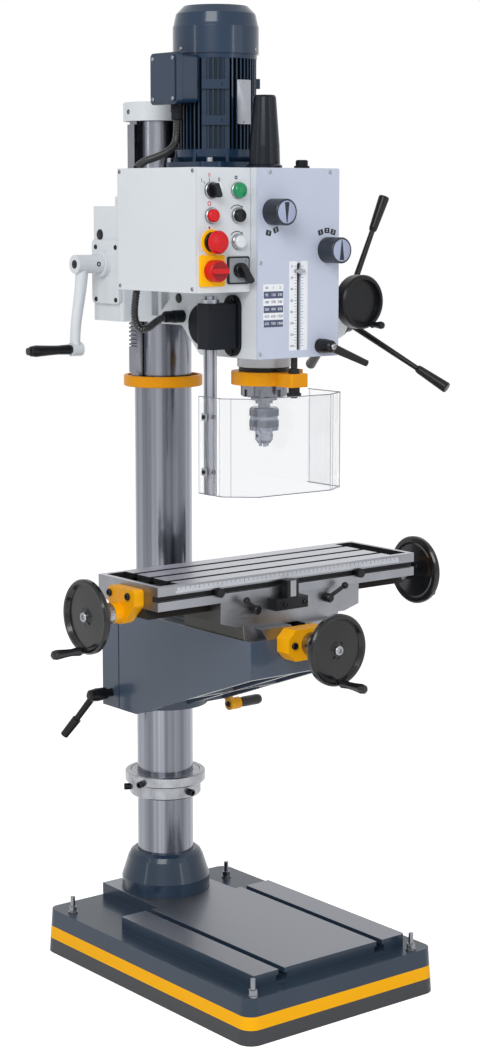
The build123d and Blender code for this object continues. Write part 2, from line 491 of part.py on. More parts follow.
lug = block(MOTOR_R - 6, FIN_R + 8, -7, 7, MOTOR_TOP - 60, MOTOR_TOP - 42)
motor += Pos(0, MOTOR_Y, 0) * Rot(0, 0, PAD_TURN + 105) * lug
motor += block(TERM[1], -MOTOR_R + 8, TERM[2] + 8, TERM[3] - 8, TERM[4] + 8, TERM[5] - 8)
motor -= block(TERM[0], TERM[1], TERM[2], TERM[3], TERM[4], TERM[5])
motor -= along_z(9 + RUN, MOTOR_TOP - 30, MOTOR_TOP + 1, 0, MOTOR_Y)
parts["motor_frame"] = motor
cowl = turned((FAN_R - 2, MOTOR_TOP), (FAN_R, MOTOR_TOP), (FAN_R, FAN_TOP - 38), (FAN_R - 2, FAN_TOP - 32),
              (FAN_R - 6, FAN_TOP - 14), (FAN_R - 20, FAN_TOP), (0, FAN_TOP), (0, FAN_TOP - 3),
              (FAN_R - 21, FAN_TOP - 3), (FAN_R - 8, FAN_TOP - 15), (FAN_R - 4, FAN_TOP - 33),
              (FAN_R - 2.5, FAN_TOP - 38))
cowl += turned((FIN_R + 1, MOTOR_TOP), (FAN_R, MOTOR_TOP), (FAN_R, MOTOR_TOP + 3), (FIN_R + 1, MOTOR_TOP + 3))
vent = plan(Pos(36, 0) * SlotOverall(34, 6), FAN_TOP - 6, FAN_TOP + 1)
cowl -= [Rot(0, 0, 22.5 * i) * vent for i in range(16)]
parts["fan_cover"] = Pos(0, MOTOR_Y, 0) * (cowl - along_z(FAN_R - 4, MOTOR_TOP - 1, MOTOR_TOP + 4, 0, 0))
blade = Pos(38, 0) * Rectangle(56, 3)
fan = along_z(9, MOTOR_TOP - 28, MOTOR_TOP + 10, 0, 0) + plan(Circle(18), MOTOR_TOP + 8, MOTOR_TOP + 50)
fan += plan(Circle(62), MOTOR_TOP + 8, MOTOR_TOP + 12)
fan += [plan(Rot(0, 0, 45 * i) * blade, MOTOR_TOP + 11, MOTOR_TOP + 48) for i in range(8)]
parts["motor_fan"] = Pos(0, MOTOR_Y, 0) * fan
tx0, tx1, ty0, ty1, tz0, tz1 = TERM
term_mid = ((ty0 + ty1) / 2, (tz0 + tz1) / 2)
term = side(Pos(*term_mid) * RectangleRounded(ty1 - ty0 - 6, tz1 - tz0 - 6, 7), tx0 + 14, tx1)
term += side(Pos(*term_mid) * RectangleRounded(ty1 - ty0, tz1 - tz0, 9), tx0 + 2, tx0 + 15)
term += side(Pos(*term_mid) * RectangleRounded(ty1 - ty0 - 8, tz1 - tz0 - 8, 7), tx0, tx0 + 3)
parts["terminal_box"] = term

# Ribbed conduits and the glands they run from.
GLAND_R = 11.5
GLAND_L, TAIL_L = 30.0, 40.0
GLAND_X, GLAND_Y = -94.0, 50.0
HOSE_X, HOSE_Y, HOSE_Z = -194.0, 38.0, BOX_Z0 - 51.0
gland_low = tz0 + 3 - GLAND_L
MOTOR_HOSE = [(GLAND_X, GLAND_Y, gland_low), (GLAND_X, GLAND_Y, gland_low - 41),
              (HOSE_X, HOSE_Y, BOX_Z1 + 36), (HOSE_X, HOSE_Y, BOX_Z1)]
FEED_HOSE = [(HOSE_X, HOSE_Y, BOX_Z0), (HOSE_X, HOSE_Y, HOSE_Z), (-half - TAIL_L, HOSE_Y, HOSE_Z)]


def conduit(points, bend):
    """A corrugated tube along straight runs and arcs: ribs by a ruled loft, and a clear bore."""
    path = FilletPolyline(*points, radius=bend)
    count = int(path.length / HOSE_PITCH)
    print("conduit length %.1f, bend radius %.1f, ribs %d" % (path.length, bend, count))
    rings = []
    for i in range(count):
        for share, r in ((0.0, HOSE_ROOT), (0.22, HOSE_R), (0.5, HOSE_R), (0.72, HOSE_ROOT)):
            at = (i + share) / count
            rings.append((at, r))
    rings.append((1.0, HOSE_ROOT))

    def station(at, r):
        frame = Plane(path @ at, x_dir=(0, 1, 0), z_dir=path % at)
        return frame * Circle(r)

    skin = loft([station(a, r) for a, r in rings], ruled=True)
    core = loft([station(i / count, HOSE_BORE) for i in range(count + 1)], ruled=True)
    return skin - core


parts["motor_conduit"] = conduit(MOTOR_HOSE, 20.0)
parts["feed_conduit"] = conduit(FEED_HOSE, 28.0)


def hose_gland(length):
    """A round gland with a stepped nut, bored through."""
    return turned((HOSE_BORE, 0), (GLAND_R - 2, 0), (GLAND_R - 1, 2), (GLAND_R - 1, length * 0.45),
                  (GLAND_R, length * 0.48), (GLAND_R, length), (HOSE_BORE, length))


plug = turned((0, 0), (14, 0), (14, 4), (11, 5), (11, 13), (9, 15), (0, 15))
parts["conduit_glands"] = Compound(children=[
    Pos(GLAND_X, GLAND_Y, gland_low) * hose_gland(GLAND_L),
    Pos(-half - TAIL_L, HOSE_Y, HOSE_Z) * Rot(0, 90, 0) * hose_gland(TAIL_L),
    Pos(45, -135, HEAD_TOP) * plug])

parts["drawbar_cover"] = Pos(0, SPIN_Y, HEAD_TOP) * turned(
    (18.5, 0), (32, 0), (32, 5), (28, 8), (27, 40), (20.5, COVER_H - 4), (18, COVER_H), (0, COVER_H),
    (0, COVER_H - 6), (16.5, COVER_H - 6), (18.5, 60))
spring_case = turn_x((-half, FEED_Y, FEED_Z), -1, (0, 0), (37, 0), (37, 9), (35, 12), (14, 12), (14, 15),
                     (0, 15))
driver_slot = block(-half - 16, -half - 12, FEED_Y - 2, FEED_Y + 2, FEED_Z - 12, FEED_Z + 12)
parts["spring_cover"] = spring_case - driver_slot
foot_z, crown_z = HEAD_LOW + BRACKET_FOOT, HEAD_LOW + BRACKET_FOOT + BRACKET_RISE
flange = Pos(-115, (foot_z + crown_z) / 2) * SlotOverall(BRACKET_RISE + 28, 44, rotation=90)
bracket = side(flange, -half - 7, -half)
bracket += plan(Pos(-129, -112.5) * RectangleRounded(60, 45, 8), foot_z, crown_z)
parts["guard_bracket"] = bracket - along_z(POST_W * 0.68, foot_z - 4, crown_z + 6, POST_X, POST_Y)

# Guard: grooved square post and a bent clear screen.
profile = RectangleRounded(POST_W, POST_W, 2.2)
for i in range(4):
    profile -= Rot(0, 0, 90 * i) * Pos(POST_W / 2 - 1.5, 0) * Rectangle(3.2, 5)
post = plan(Pos(POST_X, POST_Y) * profile, POST_LOW, POST_TOP)
post += plan(Pos(POST_X, POST_Y) * Circle(15.5), crown_z + SLIDE, crown_z + 7)
parts["guard_post"] = post
sheet_x = POST_X - POST_W / 2 - SCREEN_T / 2
bends = [(sheet_x, -90), (sheet_x, -154), (-106, -198), (60, -203), (103, -176), (102, -90)]
sheet = make_face(offset(FilletPolyline(*bends, radius=6), SCREEN_T / 2))
parts["guard_screen"] = plan(sheet, SCREEN_LOW, SCREEN_LOW + SCREEN_H)

# Quill with its rack, clamp and depth rod.
bearing_r = JOURNAL_R + RUN
quill = turned((bearing_r, QUILL_LOW), (NOSE_R - 2, QUILL_LOW), (NOSE_R, QUILL_LOW + 2), (NOSE_R, NOSE_TOP),
               (QUILL_R, NOSE_TOP), (QUILL_R, QUILL_TOP), (bearing_r, QUILL_TOP), (bearing_r, QUILL_TOP - 40),
               (JOURNAL_R + 5, QUILL_TOP - 44), (JOURNAL_R + 5, QUILL_LOW + 52), (bearing_r, QUILL_LOW + 48))
pitch = math.pi * QUILL_MODULE
spare_teeth = 3
teeth_count = int(QUILL_STROKE / pitch) + 2 * spare_teeth
rack_start = FEED_Z - pitch * (spare_teeth + 0.5)
comb = rack_side(PITCH_LINE - 12, PITCH_LINE + QUILL_ADD, rack_start, teeth_count, QUILL_MODULE, QUILL_ADD,
                 QUILL_DED)
room = block(-30, 30, PITCH_LINE - QUILL_DED, QUILL_R + 5, rack_start, rack_start + pitch * teeth_count)
quill = Pos(0, SPIN_Y, 0) * (quill - (room - side(comb, -31, 31)))
notch = block(-4, 4, -NOSE_R - 1, -NOSE_R + 5, QUILL_LOW - 1, NOSE_TOP - 8)
parts["quill"] = quill - [Pos(0, SPIN_Y, 0) * Rot(0, 0, 45 * i) * notch for i in range(8)]
lug = Pos(0, SPIN_Y) * Circle(CLAMP_R) + Pos(0, (CLAMP_LUG_Y + SPIN_Y) / 2) * RectangleRounded(
    CLAMP_LUG_W, SPIN_Y - CLAMP_LUG_Y, 5)
lug -= [Pos(0, SPIN_Y) * Circle(QUILL_R), Pos(0, ROD_Y) * Circle(ROD_R)]
lug -= Pos(CLAMP_R, SPIN_Y) * Rectangle(2 * (CLAMP_R - QUILL_R) + 4, 4)
for y in (SPIN_Y - 10, SPIN_Y + 10):
    lug += Pos(CLAMP_R + 5, y) * RectangleRounded(26, 16, 3)
parts["quill_clamp"] = plan(lug, NOSE_TOP, HOUSING_LOW - CLAMP_GAP)
rod_top = HEAD_LOW + ROD_TRAVEL_H
rod = along_z(ROD_R, NOSE_TOP - 20, rod_top, 0, ROD_Y)
rod += plan(Pos(0, ROD_Y) * RegularPolygon(11, 6), NOSE_TOP - 11, NOSE_TOP)
rod += along_z(13, NOSE_TOP - 17, NOSE_TOP - 11, 0, ROD_Y)
rod += along_z(10, HOUSING_LOW - CLAMP_GAP, HOUSING_LOW, 0, ROD_Y)
rod += block(-3.5, 3.5, PANEL_FACE - 5, ROD_Y, rod_top - 57, rod_top - 48)
rod += block(-11, 11, PANEL_FACE - 5, PANEL_FACE - 2, rod_top - 55, rod_top - 50)
parts["depth_rod"] = rod

# Spindle with its taper nose and the drill chuck.
seat = QUILL_LOW - CHUCK_Z
parts["spindle"] = Pos(0, SPIN_Y, CHUCK_Z) * turned(
    (0, 0), (9, 0), (11, 8), (11, 14), (16, 15), (16, 20), (24, 21), (24, seat - FREE),
    (JOURNAL_R, seat - FREE), (JOURNAL_R, seat + QUILL_L + 6), (14, seat + QUILL_L + 8),
    (14, HEAD_TOP + 77 - CHUCK_Z), (0, HEAD_TOP + 79 - CHUCK_Z))
JAW_R, JAW_END, CHUCK_R = 5.0, -64.0, 26.4
chuck = turned((0, 0), (9, 0), (11, 8), (24, 8), (CHUCK_R, 5), (CHUCK_R, -8), (CHUCK_R - 1, -9),
               (CHUCK_R - 1, -14), (CHUCK_R, -15), (CHUCK_R, -34), (17.5, -34), (16, -38), (16, -52),
               (11.5, -58), (JAW_R, -58), (JAW_R, -24), (0, -24))
for i in range(3):
    chuck += Rot(0, 0, 120 * i) * rod_between((6.2, 0, JAW_END - 4), (9.5, 0, JAW_END + 20), 3)
crown = block(CHUCK_R - 1.6, CHUCK_R + 0.6, -1.2, 1.2, -35, -28)
chuck -= [Rot(0, 0, 18 * i) * crown for i in range(20)]
chuck -= [along_z(JAW_R, JAW_END - 10, -24, 0, 0), along_z(CHUCK_R, JAW_END - 10, JAW_END, 0, 0)]
parts["drill_chuck"] = Pos(0, SPIN_Y, CHUCK_Z) * chuck

# Quill feed: pinion shaft, hub and three levers.
hub_x = 232.0
lever_root = Vector(hub_x, FEED_Y, FEED_Z)
levers = []
holes = []
for i in range(3):
    a = math.radians(LEVER_LEAN + 120 * i)
    cone = math.radians(LEVER_CONE)
    d = Vector(math.sin(cone), -math.sin(a) * math.cos(cone), math.cos(a) * math.cos(cone))
    p0, p1, p2 = lever_root + d * 20, lever_root + d * (LEVER_L * 0.72), lever_root + d * LEVER_L
    grip = turned((0, 0), (6.8, 0), (8, 5), (9.2, 36), (10.4, 66), (9.4, 69), (0, 69.2))
    levers.append(rod_between(p0, p1, LEVER_ROOT_R, LEVER_END_R) + Plane(p1, z_dir=d).location * grip)
    thin = (LEVER_ROOT_R - LEVER_END_R) * 40 / (LEVER_L * 0.72 - 20)
    holes.append(rod_between(p0, lever_root + d * 60, LEVER_ROOT_R, LEVER_ROOT_R - thin))
shaft = along_x(SHAFT_R, -half + 4, FEED_END + 4, FEED_Y, FEED_Z)
mesh = pinion_face(QUILL_MODULE, PINION_TEETH, 2.0, 2.3, 0.5, math.pi / PINION_TEETH)
shaft += Pos(0, FEED_Y, FEED_Z) * side(Rot(0, 0, 0) * mesh, -15, 15)
shaft += turn_x((FEED_END + FREE, FEED_Y, FEED_Z), 1, (0, 0), (34, 0), (34, 8), (28, 14), (26, 30), (20, 40),
                (0, 44))
parts["feed_shaft"] = shaft - holes
parts["feed_levers"] = Compound(children=levers)
fine_back = FEED_Y - 20
rim = fine_back - FINE_FACE
fine = turn_front((FINE_X, fine_back, FINE_Z), (0, 0), (8, 0), (8, rim - 52 + FREE),
                  (23.5, rim - 52 + FREE), (23.5, rim - 31), (FINE_R - 12, rim - 28),
                  (FINE_R - 4, rim - 28), (FINE_R, rim - 24), (FINE_R, rim - 3), (FINE_R - 3, rim),
                  (FINE_R - 8, rim), (FINE_R - 10, rim - 10), (0, rim - 10))
fine += turn_front((FINE_X + 12, FINE_FACE + 3, FINE_Z - 41), *handle_profile(42, 7))
parts["fine_wheel"] = fine

# Speed knobs and quill lock lever on the panel.
for name, (x, z) in KNOBS.items():
    parts[name] = turn_front((x, HEAD_FRONT + 24, z), (0, 0), (6, 0), (6, 28 + FREE), (23, 28 + FREE),
                             (23, 66.5), (21.5, 68), (20, 68), (20, 67), (0, 67))
lever = turn_front((LOCK_X, HEAD_FRONT + 24, LOCK_Z), (0, 0), (6, 0), (6, 28 + FREE), (13, 28 + FREE),
                   (13, 44), (11, 60), (8, 64), (0, 65))
lever += rod_between((LOCK_X + 6, PANEL_FACE - 26, LOCK_Z - 2), (LOCK_X + 78, PANEL_FACE - 38, LOCK_Z - 33),
                     8, 6)
parts["quill_lock_lever"] = lever

# Head lift crank with its turning grip.
CRANK_L = 158.0
arm_x = CASE_X - 62
crank = along_x(9, arm_x - 8, -86, CRANK_Y, CRANK_Z)
crank += along_x(17.5, arm_x - 10, CASE_X - 16 - FREE, CRANK_Y, CRANK_Z)
bend = Spline((arm_x + 6, CRANK_Y, CRANK_Z), (arm_x + 2, CRANK_Y, CRANK_Z - CRANK_L * 0.32),
              (arm_x - 8, CRANK_Y, CRANK_Z - CRANK_L * 0.7), (arm_x - 10, CRANK_Y, CRANK_Z - CRANK_L),
              tangents=((0, 0, -1), (0, 0, -1)))
sections = []
for t, w, h in ((0.0, 14, 12), (0.33, 11, 11), (0.67, 10, 10), (1.0, 11, 9)):
    frame = Plane(bend @ t, x_dir=(0, 1, 0), z_dir=bend % t)
    sections.append(frame * Ellipse(w, h))
crank += loft(sections)
grip_z = CRANK_Z - CRANK_L
crank += along_x(13, arm_x - 20, arm_x + 2, CRANK_Y, grip_z)
pin_end = arm_x - 112
crank += along_x(4, pin_end, arm_x - 10, CRANK_Y, grip_z) + along_x(7, pin_end - 4, pin_end, CRANK_Y, grip_z)
parts["head_crank"] = crank
grip_l = arm_x - 20 - FREE - pin_end - FREE
grip = turn_x((arm_x - 20 - FREE, CRANK_Y, grip_z), -1, (4 + RUN, 0), (8, 0), (9.5, 6), (8.6, 30), (9.4, 50),
              (11, grip_l - 14), (9.5, grip_l - 3), (8, grip_l), (4 + RUN, grip_l))
parts["head_crank_grip"] = grip

# Knee: tapered hollow casting on the column, with a dovetail way and a pinion housing.
kh = KNEE_W / 2
knee_side = outline((KNEE_FRONT, KNEE_NOSE), (KNEE_HEEL, KNEE_LOW), (KNEE_REAR, KNEE_LOW),
                    (KNEE_REAR, KNEE_TOP), (KNEE_FRONT, KNEE_TOP))
knee = side(knee_side, -kh, kh)
knee += along_z(KNEE_SLEEVE_R, KNEE_LOW, KNEE_TOP, 0, COL_Y)
case = outline((COL_Y, KNEE_CRANK_Z - 30), (KNEE_CRANK_Y + 26, KNEE_CRANK_Z - 30),
               (KNEE_CRANK_Y + 26, KNEE_CRANK_Z + 30), (COL_Y, KNEE_CRANK_Z + 30))
knee += side(fillet(case.vertices().group_by(Axis.X)[-1], 14), -46, kh)
inner = outline((KNEE_FRONT + KNEE_WALL, KNEE_LOW - 40), (COL_Y - KNEE_SLEEVE_R + 20, KNEE_LOW - 40),
                (COL_Y - KNEE_SLEEVE_R + 20, KNEE_TOP - 52), (KNEE_FRONT + KNEE_WALL, KNEE_TOP - 36))
pocket = side(inner, -kh + KNEE_WALL, kh - KNEE_WALL)
pocket -= along_z(KNEE_SLEEVE_R, KNEE_LOW - 60, KNEE_TOP, 0, COL_Y)
web = KNEE_WALL / 2
pocket -= block(-web, web, KNEE_FRONT, COL_Y, KNEE_LOW - 60, KNEE_TOP)
pocket -= block(-kh, kh, -web, web, KNEE_LOW - 60, KNEE_TOP)
knee -= pocket
way = outline((-WAY_LOW_W, KNEE_TOP - 1), (WAY_LOW_W, KNEE_TOP - 1), (WAY_LOW_W, KNEE_TOP),
              (WAY_TOP_W, KNEE_TOP + WAY_H), (-WAY_TOP_W, KNEE_TOP + WAY_H), (-WAY_LOW_W, KNEE_TOP))
knee += front(way, KNEE_FRONT, WAY_REAR)
cuts = [along_z(COL_R + RUN, KNEE_LOW - 1, KNEE_TOP + 1, 0, COL_Y)]
cuts.append(block(-RACK_W / 2 - FREE, RACK_W / 2 + FREE, COL_Y + 30, COL_Y + RACK_OUT + 2,
                  KNEE_LOW - 1, KNEE_TOP + 1))
cuts.append(along_x(KNEE_PINION_R + 3, -14, 14, KNEE_CRANK_Y, KNEE_CRANK_Z))
cuts.append(along_x(9 + RUN, -40, kh + 1, KNEE_CRANK_Y, KNEE_CRANK_Z))
cuts.append(block(-16, 16, KNEE_FRONT - 1, WAY_REAR + 1, CROSS_Z - 16, KNEE_TOP + WAY_H + 1))
cuts.append(along_x(8 + RUN, -kh - 1, -kh + 30, CLAMP_Y, CLAMP_Z))
cuts.append(block(-kh - 1, -COL_R + 8, COL_Y - 1.5, COL_Y + 1.5, KNEE_LOW - 1, KNEE_TOP + 1))
parts["knee"] = knee - cuts
eight = Pos(0, (BRACKET_LOW + BRACKET_TOP) / 2) * Rectangle(BRACKET_W, BRACKET_TOP - BRACKET_LOW)
eight = chamfer(eight.vertices(), 16) - Pos(0, CROSS_Z) * Circle(SCREW_R + RUN)
parts["cross_bracket"] = front(eight, KNEE_FRONT - BRACKET_T, KNEE_FRONT)
CROSS_DIAL = KNEE_FRONT - BRACKET_T - FREE
parts["cross_screw"] = along_y(SCREW_R, CROSS_FACE, WAY_REAR - 4, 0, CROSS_Z)
profile = wheel_profile(CROSS_WHEEL_R, CROSS_DIAL - CROSS_FACE, 16, SCREW_R, 21, 18)
wheel = turn_front((0, CROSS_DIAL, CROSS_Z), *profile)
wheel += turn_front((0, CROSS_FACE + 2, CROSS_Z - CROSS_WHEEL_R + 7), *handle_profile(CROSS_HANDLE_L, 9))
parts["cross_wheel"] = wheel

# Knee crank with its pinion, and the clamp lever.
KNEE_ARM = (-120.0, -73.0)
arm_end = (kh + 34, KNEE_CRANK_Y + KNEE_ARM[0], KNEE_CRANK_Z + KNEE_ARM[1])
kcrank = along_x(9, -38, kh + 30, KNEE_CRANK_Y, KNEE_CRANK_Z)
mesh = pinion_face(RACK_MODULE, KNEE_TEETH, 2.2, 2.6, 0.6, math.pi * (1 + 1 / KNEE_TEETH))
kcrank += Pos(0, KNEE_CRANK_Y, KNEE_CRANK_Z) * side(mesh, -11, 11)
kcrank += along_x(15, kh + FREE, kh + 42, KNEE_CRANK_Y, KNEE_CRANK_Z)
kcrank += rod_between((kh + 30, KNEE_CRANK_Y, KNEE_CRANK_Z), arm_end, 9, 8)
kcrank += along_x(12, kh + 22, kh + 48, arm_end[1], arm_end[2])
kcrank += turn_x((kh + 47, arm_end[1], arm_end[2]), 1, (0, 0), (7, 0), (7, 3), (9.5, 5), (10.5, 14),
                 (10.5, 48), (9, 54), (0, 55))
parts["knee_crank"] = kcrank
clamp = turn_x((-kh + 28, CLAMP_Y, CLAMP_Z), -1, (0, 0), (8, 0), (8, 40), (12, 42), (13, 62), (11, 78),
               (6, 82), (0, 82))
tip = (-kh - 76, CLAMP_Y + 52, CLAMP_Z - 84)
clamp += rod_between((-kh - 40, CLAMP_Y, CLAMP_Z), (-kh - 66, CLAMP_Y + 40, CLAMP_Z - 64), 7, 6)
clamp += rod_between((-kh - 60, CLAMP_Y + 31, CLAMP_Z - 50), tip, 9, 8)
parts["knee_clamp_lever"] = clamp

# Saddle with both dovetails and both screw nuts.
sw = SADDLE_W / 2
leg = KNEE_TOP + SLIDE
roof = KNEE_TOP + WAY_H + SLIDE
slack = 0.12
wing, wing_tip = TABLE_LOW - 48, TABLE_LOW - 38
saddle_face = outline((-sw, TABLE_LOW - SLIDE), (-sw, wing_tip), (-sw + 34, wing), (-112, wing), (-108, leg),
                      (-WAY_LOW_W - slack, leg), (-WAY_TOP_W - slack, roof), (WAY_TOP_W + slack, roof),
                      (WAY_LOW_W + slack, leg), (108, leg), (112, wing), (sw - 34, wing), (sw, wing_tip),
                      (sw, TABLE_LOW - SLIDE))
saddle = front(saddle_face, SADDLE_FRONT, SADDLE_REAR)
way_top, way_low = TABLE_WAY_TOP + slack, TABLE_WAY_LOW + slack
cross_way = outline((TABLE_Y - way_top, TABLE_LOW + 1), (TABLE_Y - way_top, TABLE_LOW),
                    (TABLE_Y - way_low, TABLE_LOW - TABLE_WAY_H - SLIDE),
                    (TABLE_Y + way_low, TABLE_LOW - TABLE_WAY_H - SLIDE),
                    (TABLE_Y + way_top, TABLE_LOW), (TABLE_Y + way_top, TABLE_LOW + 1))
saddle -= side(cross_way, -sw - 1, sw + 1)
saddle -= block(-sw - 1, sw + 1, TABLE_Y - 14, TABLE_Y + 14, SCREW_Z - 16, TABLE_LOW)
saddle += block(-24, 24, TABLE_Y - 13, TABLE_Y + 13, SCREW_Z - 16, SCREW_Z + 12)
saddle -= along_x(SCREW_R + FREE, -25, 25, TABLE_Y, SCREW_Z)
saddle += block(-15, 15, TABLE_Y - 24, TABLE_Y + 24, CROSS_Z - 13, roof + 1)
saddle -= along_y(SCREW_R + FREE, TABLE_Y - 25, TABLE_Y + 25, 0, CROSS_Z)
LOCKS = {"table_lock_left": (-89.0, TABLE_LOW - 19.0, -1), "table_lock_right": (81.0, TABLE_LOW - 17.0, 1)}
for x, z, _ in LOCKS.values():
    saddle -= along_y(6 + RUN, SADDLE_FRONT - 1, SADDLE_FRONT + 20, x, z)
parts["saddle"] = saddle
stop = block(-55, 19, SADDLE_FRONT - 24, SADDLE_FRONT, TABLE_LOW - 24, TABLE_LOW - 3)
stop += block(-29, -3, SADDLE_FRONT - 24, SADDLE_FRONT - 7, TABLE_LOW - 10, TABLE_TOP - 14)
parts["stop_block"] = stop
for name, (x, z, hand) in LOCKS.items():
    lock = turn_front((x, SADDLE_FRONT + 18, z), (0, 0), (6, 0), (6, 18 + FREE), (8.5, 18 + FREE), (8.5, 32),
                      (6, 35), (0, 35))
    tip = (x + hand * 30, SADDLE_FRONT - 20, z + 21)
    lock += rod_between((x + hand * 3, SADDLE_FRONT - 9, z + 2), tip, 4, 3.5)
    lock += ball(tip, (hand * 27, -11, 19), 6.5)
    parts[name] = lock

# Table with T-slots, end troughs, stop slot and dovetail.
tl = TABLE_L / 2
ty0, ty1 = TABLE_Y - TABLE_W / 2, TABLE_Y + TABLE_W / 2
table = block(-tl, tl, ty0, ty1, TABLE_LOW, TABLE_TOP)
table_way = outline((TABLE_Y - TABLE_WAY_TOP, TABLE_LOW + 1), (TABLE_Y - TABLE_WAY_TOP, TABLE_LOW),
                    (TABLE_Y - TABLE_WAY_LOW, TABLE_LOW - TABLE_WAY_H),
                    (TABLE_Y + TABLE_WAY_LOW, TABLE_LOW - TABLE_WAY_H),
                    (TABLE_Y + TABLE_WAY_TOP, TABLE_LOW), (TABLE_Y + TABLE_WAY_TOP, TABLE_LOW + 1))
table += side(table_way, -tl, tl)
trough = RectangleRounded(TABLE_L - 20, TABLE_W - 20, 6)
field = Rectangle(TABLE_L - 104, TABLE_W)
cuts = [Pos(0, TABLE_Y, 0) * plan(trough - field, TABLE_TOP - 10, TABLE_TOP + 1)]
for i in (-1, 0, 1):
    y = TABLE_Y + i * TEE_PITCH
    tee = outline((y - TEE_MOUTH / 2, TABLE_TOP + 1), (y - TEE_MOUTH / 2, TABLE_TOP - TEE_NECK),
                  (y - TEE_WIDE / 2, TABLE_TOP - TEE_NECK), (y - TEE_WIDE / 2, TABLE_TOP - TEE_DEPTH),
                  (y + TEE_WIDE / 2, TABLE_TOP - TEE_DEPTH), (y + TEE_WIDE / 2, TABLE_TOP - TEE_NECK),
                  (y + TEE_MOUTH / 2, TABLE_TOP - TEE_NECK), (y + TEE_MOUTH / 2, TABLE_TOP + 1))
    cuts.append(side(tee, -tl + 24, tl - 24))
cuts.append(block(-tl - 1, tl + 1, ty0 - 1, ty0 + 8, TABLE_TOP - 27, TABLE_TOP - 17))
cuts.append(block(-tl - 1, tl + 1, TABLE_Y - 14, TABLE_Y + 14, TABLE_LOW - TABLE_WAY_H - 1, SCREW_Z + 14))
parts["table"] = table - cuts
end_top, end_low = TABLE_TOP - 9, TABLE_LOW + 5
end_face = outline((TABLE_Y - 48, end_low), (TABLE_Y - 48, end_top), (TABLE_Y + 31, end_top),
                   (TABLE_Y + 31, end_low), (TABLE_Y + 16, SCREW_Z - 16), (TABLE_Y - 16, SCREW_Z - 16))
end_face = fillet(end_face.vertices(), 7) + Pos(TABLE_Y, SCREW_Z) * Circle(21)
ends = []
for hand in (-1, 1):
    x0 = min(hand * tl, hand * (tl + 20))
    end = side(end_face, x0, x0 + 20)
    end += along_x(18, hand * (tl + 10), hand * (tl + 38), TABLE_Y, SCREW_Z)
    ends.append(end - along_x(SCREW_R + RUN, hand * (tl - 1), hand * (tl + 40), TABLE_Y, SCREW_Z))
parts["table_brackets"] = Compound(children=ends)
parts["table_screw"] = along_x(SCREW_R, -WHEEL_X, WHEEL_X, TABLE_Y, SCREW_Z)
dial_x = tl + 38 + FREE
wheels = []
for hand in (-1, 1):
    profile = wheel_profile(WHEEL_R, WHEEL_X - dial_x, 16, SCREW_R, 18.5, 12)
    hw = turn_x((hand * dial_x, TABLE_Y, SCREW_Z), hand, *profile)
    phase = math.radians(HANDLE_PHASE[hand])
    grip_y, grip_z = TABLE_Y + (WHEEL_R - 7) * math.sin(phase), SCREW_Z - (WHEEL_R - 7) * math.cos(phase)
    hw += turn_x((hand * (WHEEL_X - 2), grip_y, grip_z), hand, *handle_profile(HANDLE_L, 9))
    wheels.append(hw)
parts["table_wheels"] = Compound(children=wheels)

os.makedirs("parts", exist_ok=True)
for name, shape in parts.items():
    export_step(shape, "parts/" + name + ".step")
print(len(parts), "nodes")
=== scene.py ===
"""Blender scene of the mill drill: finishes, small fittings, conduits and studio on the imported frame."""

import logging
import math
from dataclasses import dataclass, replace
from enum import Enum
from typing import Any, Iterable, Sequence

import bmesh
import bpy
from mathutils import Matrix, Vector


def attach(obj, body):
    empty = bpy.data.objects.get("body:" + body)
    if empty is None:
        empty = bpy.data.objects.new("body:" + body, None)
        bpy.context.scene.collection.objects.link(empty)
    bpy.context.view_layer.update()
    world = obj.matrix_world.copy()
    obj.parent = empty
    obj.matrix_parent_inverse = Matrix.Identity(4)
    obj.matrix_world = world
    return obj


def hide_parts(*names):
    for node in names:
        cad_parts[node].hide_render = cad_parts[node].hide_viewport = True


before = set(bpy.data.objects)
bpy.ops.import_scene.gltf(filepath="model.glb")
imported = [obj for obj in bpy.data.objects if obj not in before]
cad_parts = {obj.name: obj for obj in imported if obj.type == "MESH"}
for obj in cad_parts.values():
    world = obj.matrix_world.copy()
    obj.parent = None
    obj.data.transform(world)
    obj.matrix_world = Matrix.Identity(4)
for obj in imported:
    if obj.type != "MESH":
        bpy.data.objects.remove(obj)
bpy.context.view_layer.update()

Point = tuple[float, float, float]
Flat = tuple[float, float]
Colour = tuple[float, float, float, float]
Mark = tuple[str, float, float, float]
Grid = Sequence[Sequence[float]]
Tree = bpy.types.NodeTree
Node = bpy.types.Node
Socket = bpy.types.NodeSocket

LOG = logging.getLogger("mill_drill")
MM = 0.001
# Sides of a turned piece, of a cap screw and of a small screw.
TURNED_SIDES, SCREW_SIDES, SMALL_SIDES = 32, 20, 16
# Angle between two faces, in degrees, from which an edge is drawn sharp.
SHARP = 32
# Axes of a zone: those of the frame, and the distance from an upright axle.
X, Y, Z, AWAY = range(4)
# Share of a face's normal that points up, from which the face counts as a top.
UPWARD = 0.7
# Values of a noise texture that are spread over the whole range.
NOISE_RANGE = {"From Min": 0.3, "From Max": 0.7}
COAT_ROUGHNESS = 0.1
MOTOR_AXIS = (0.0, 57.0)


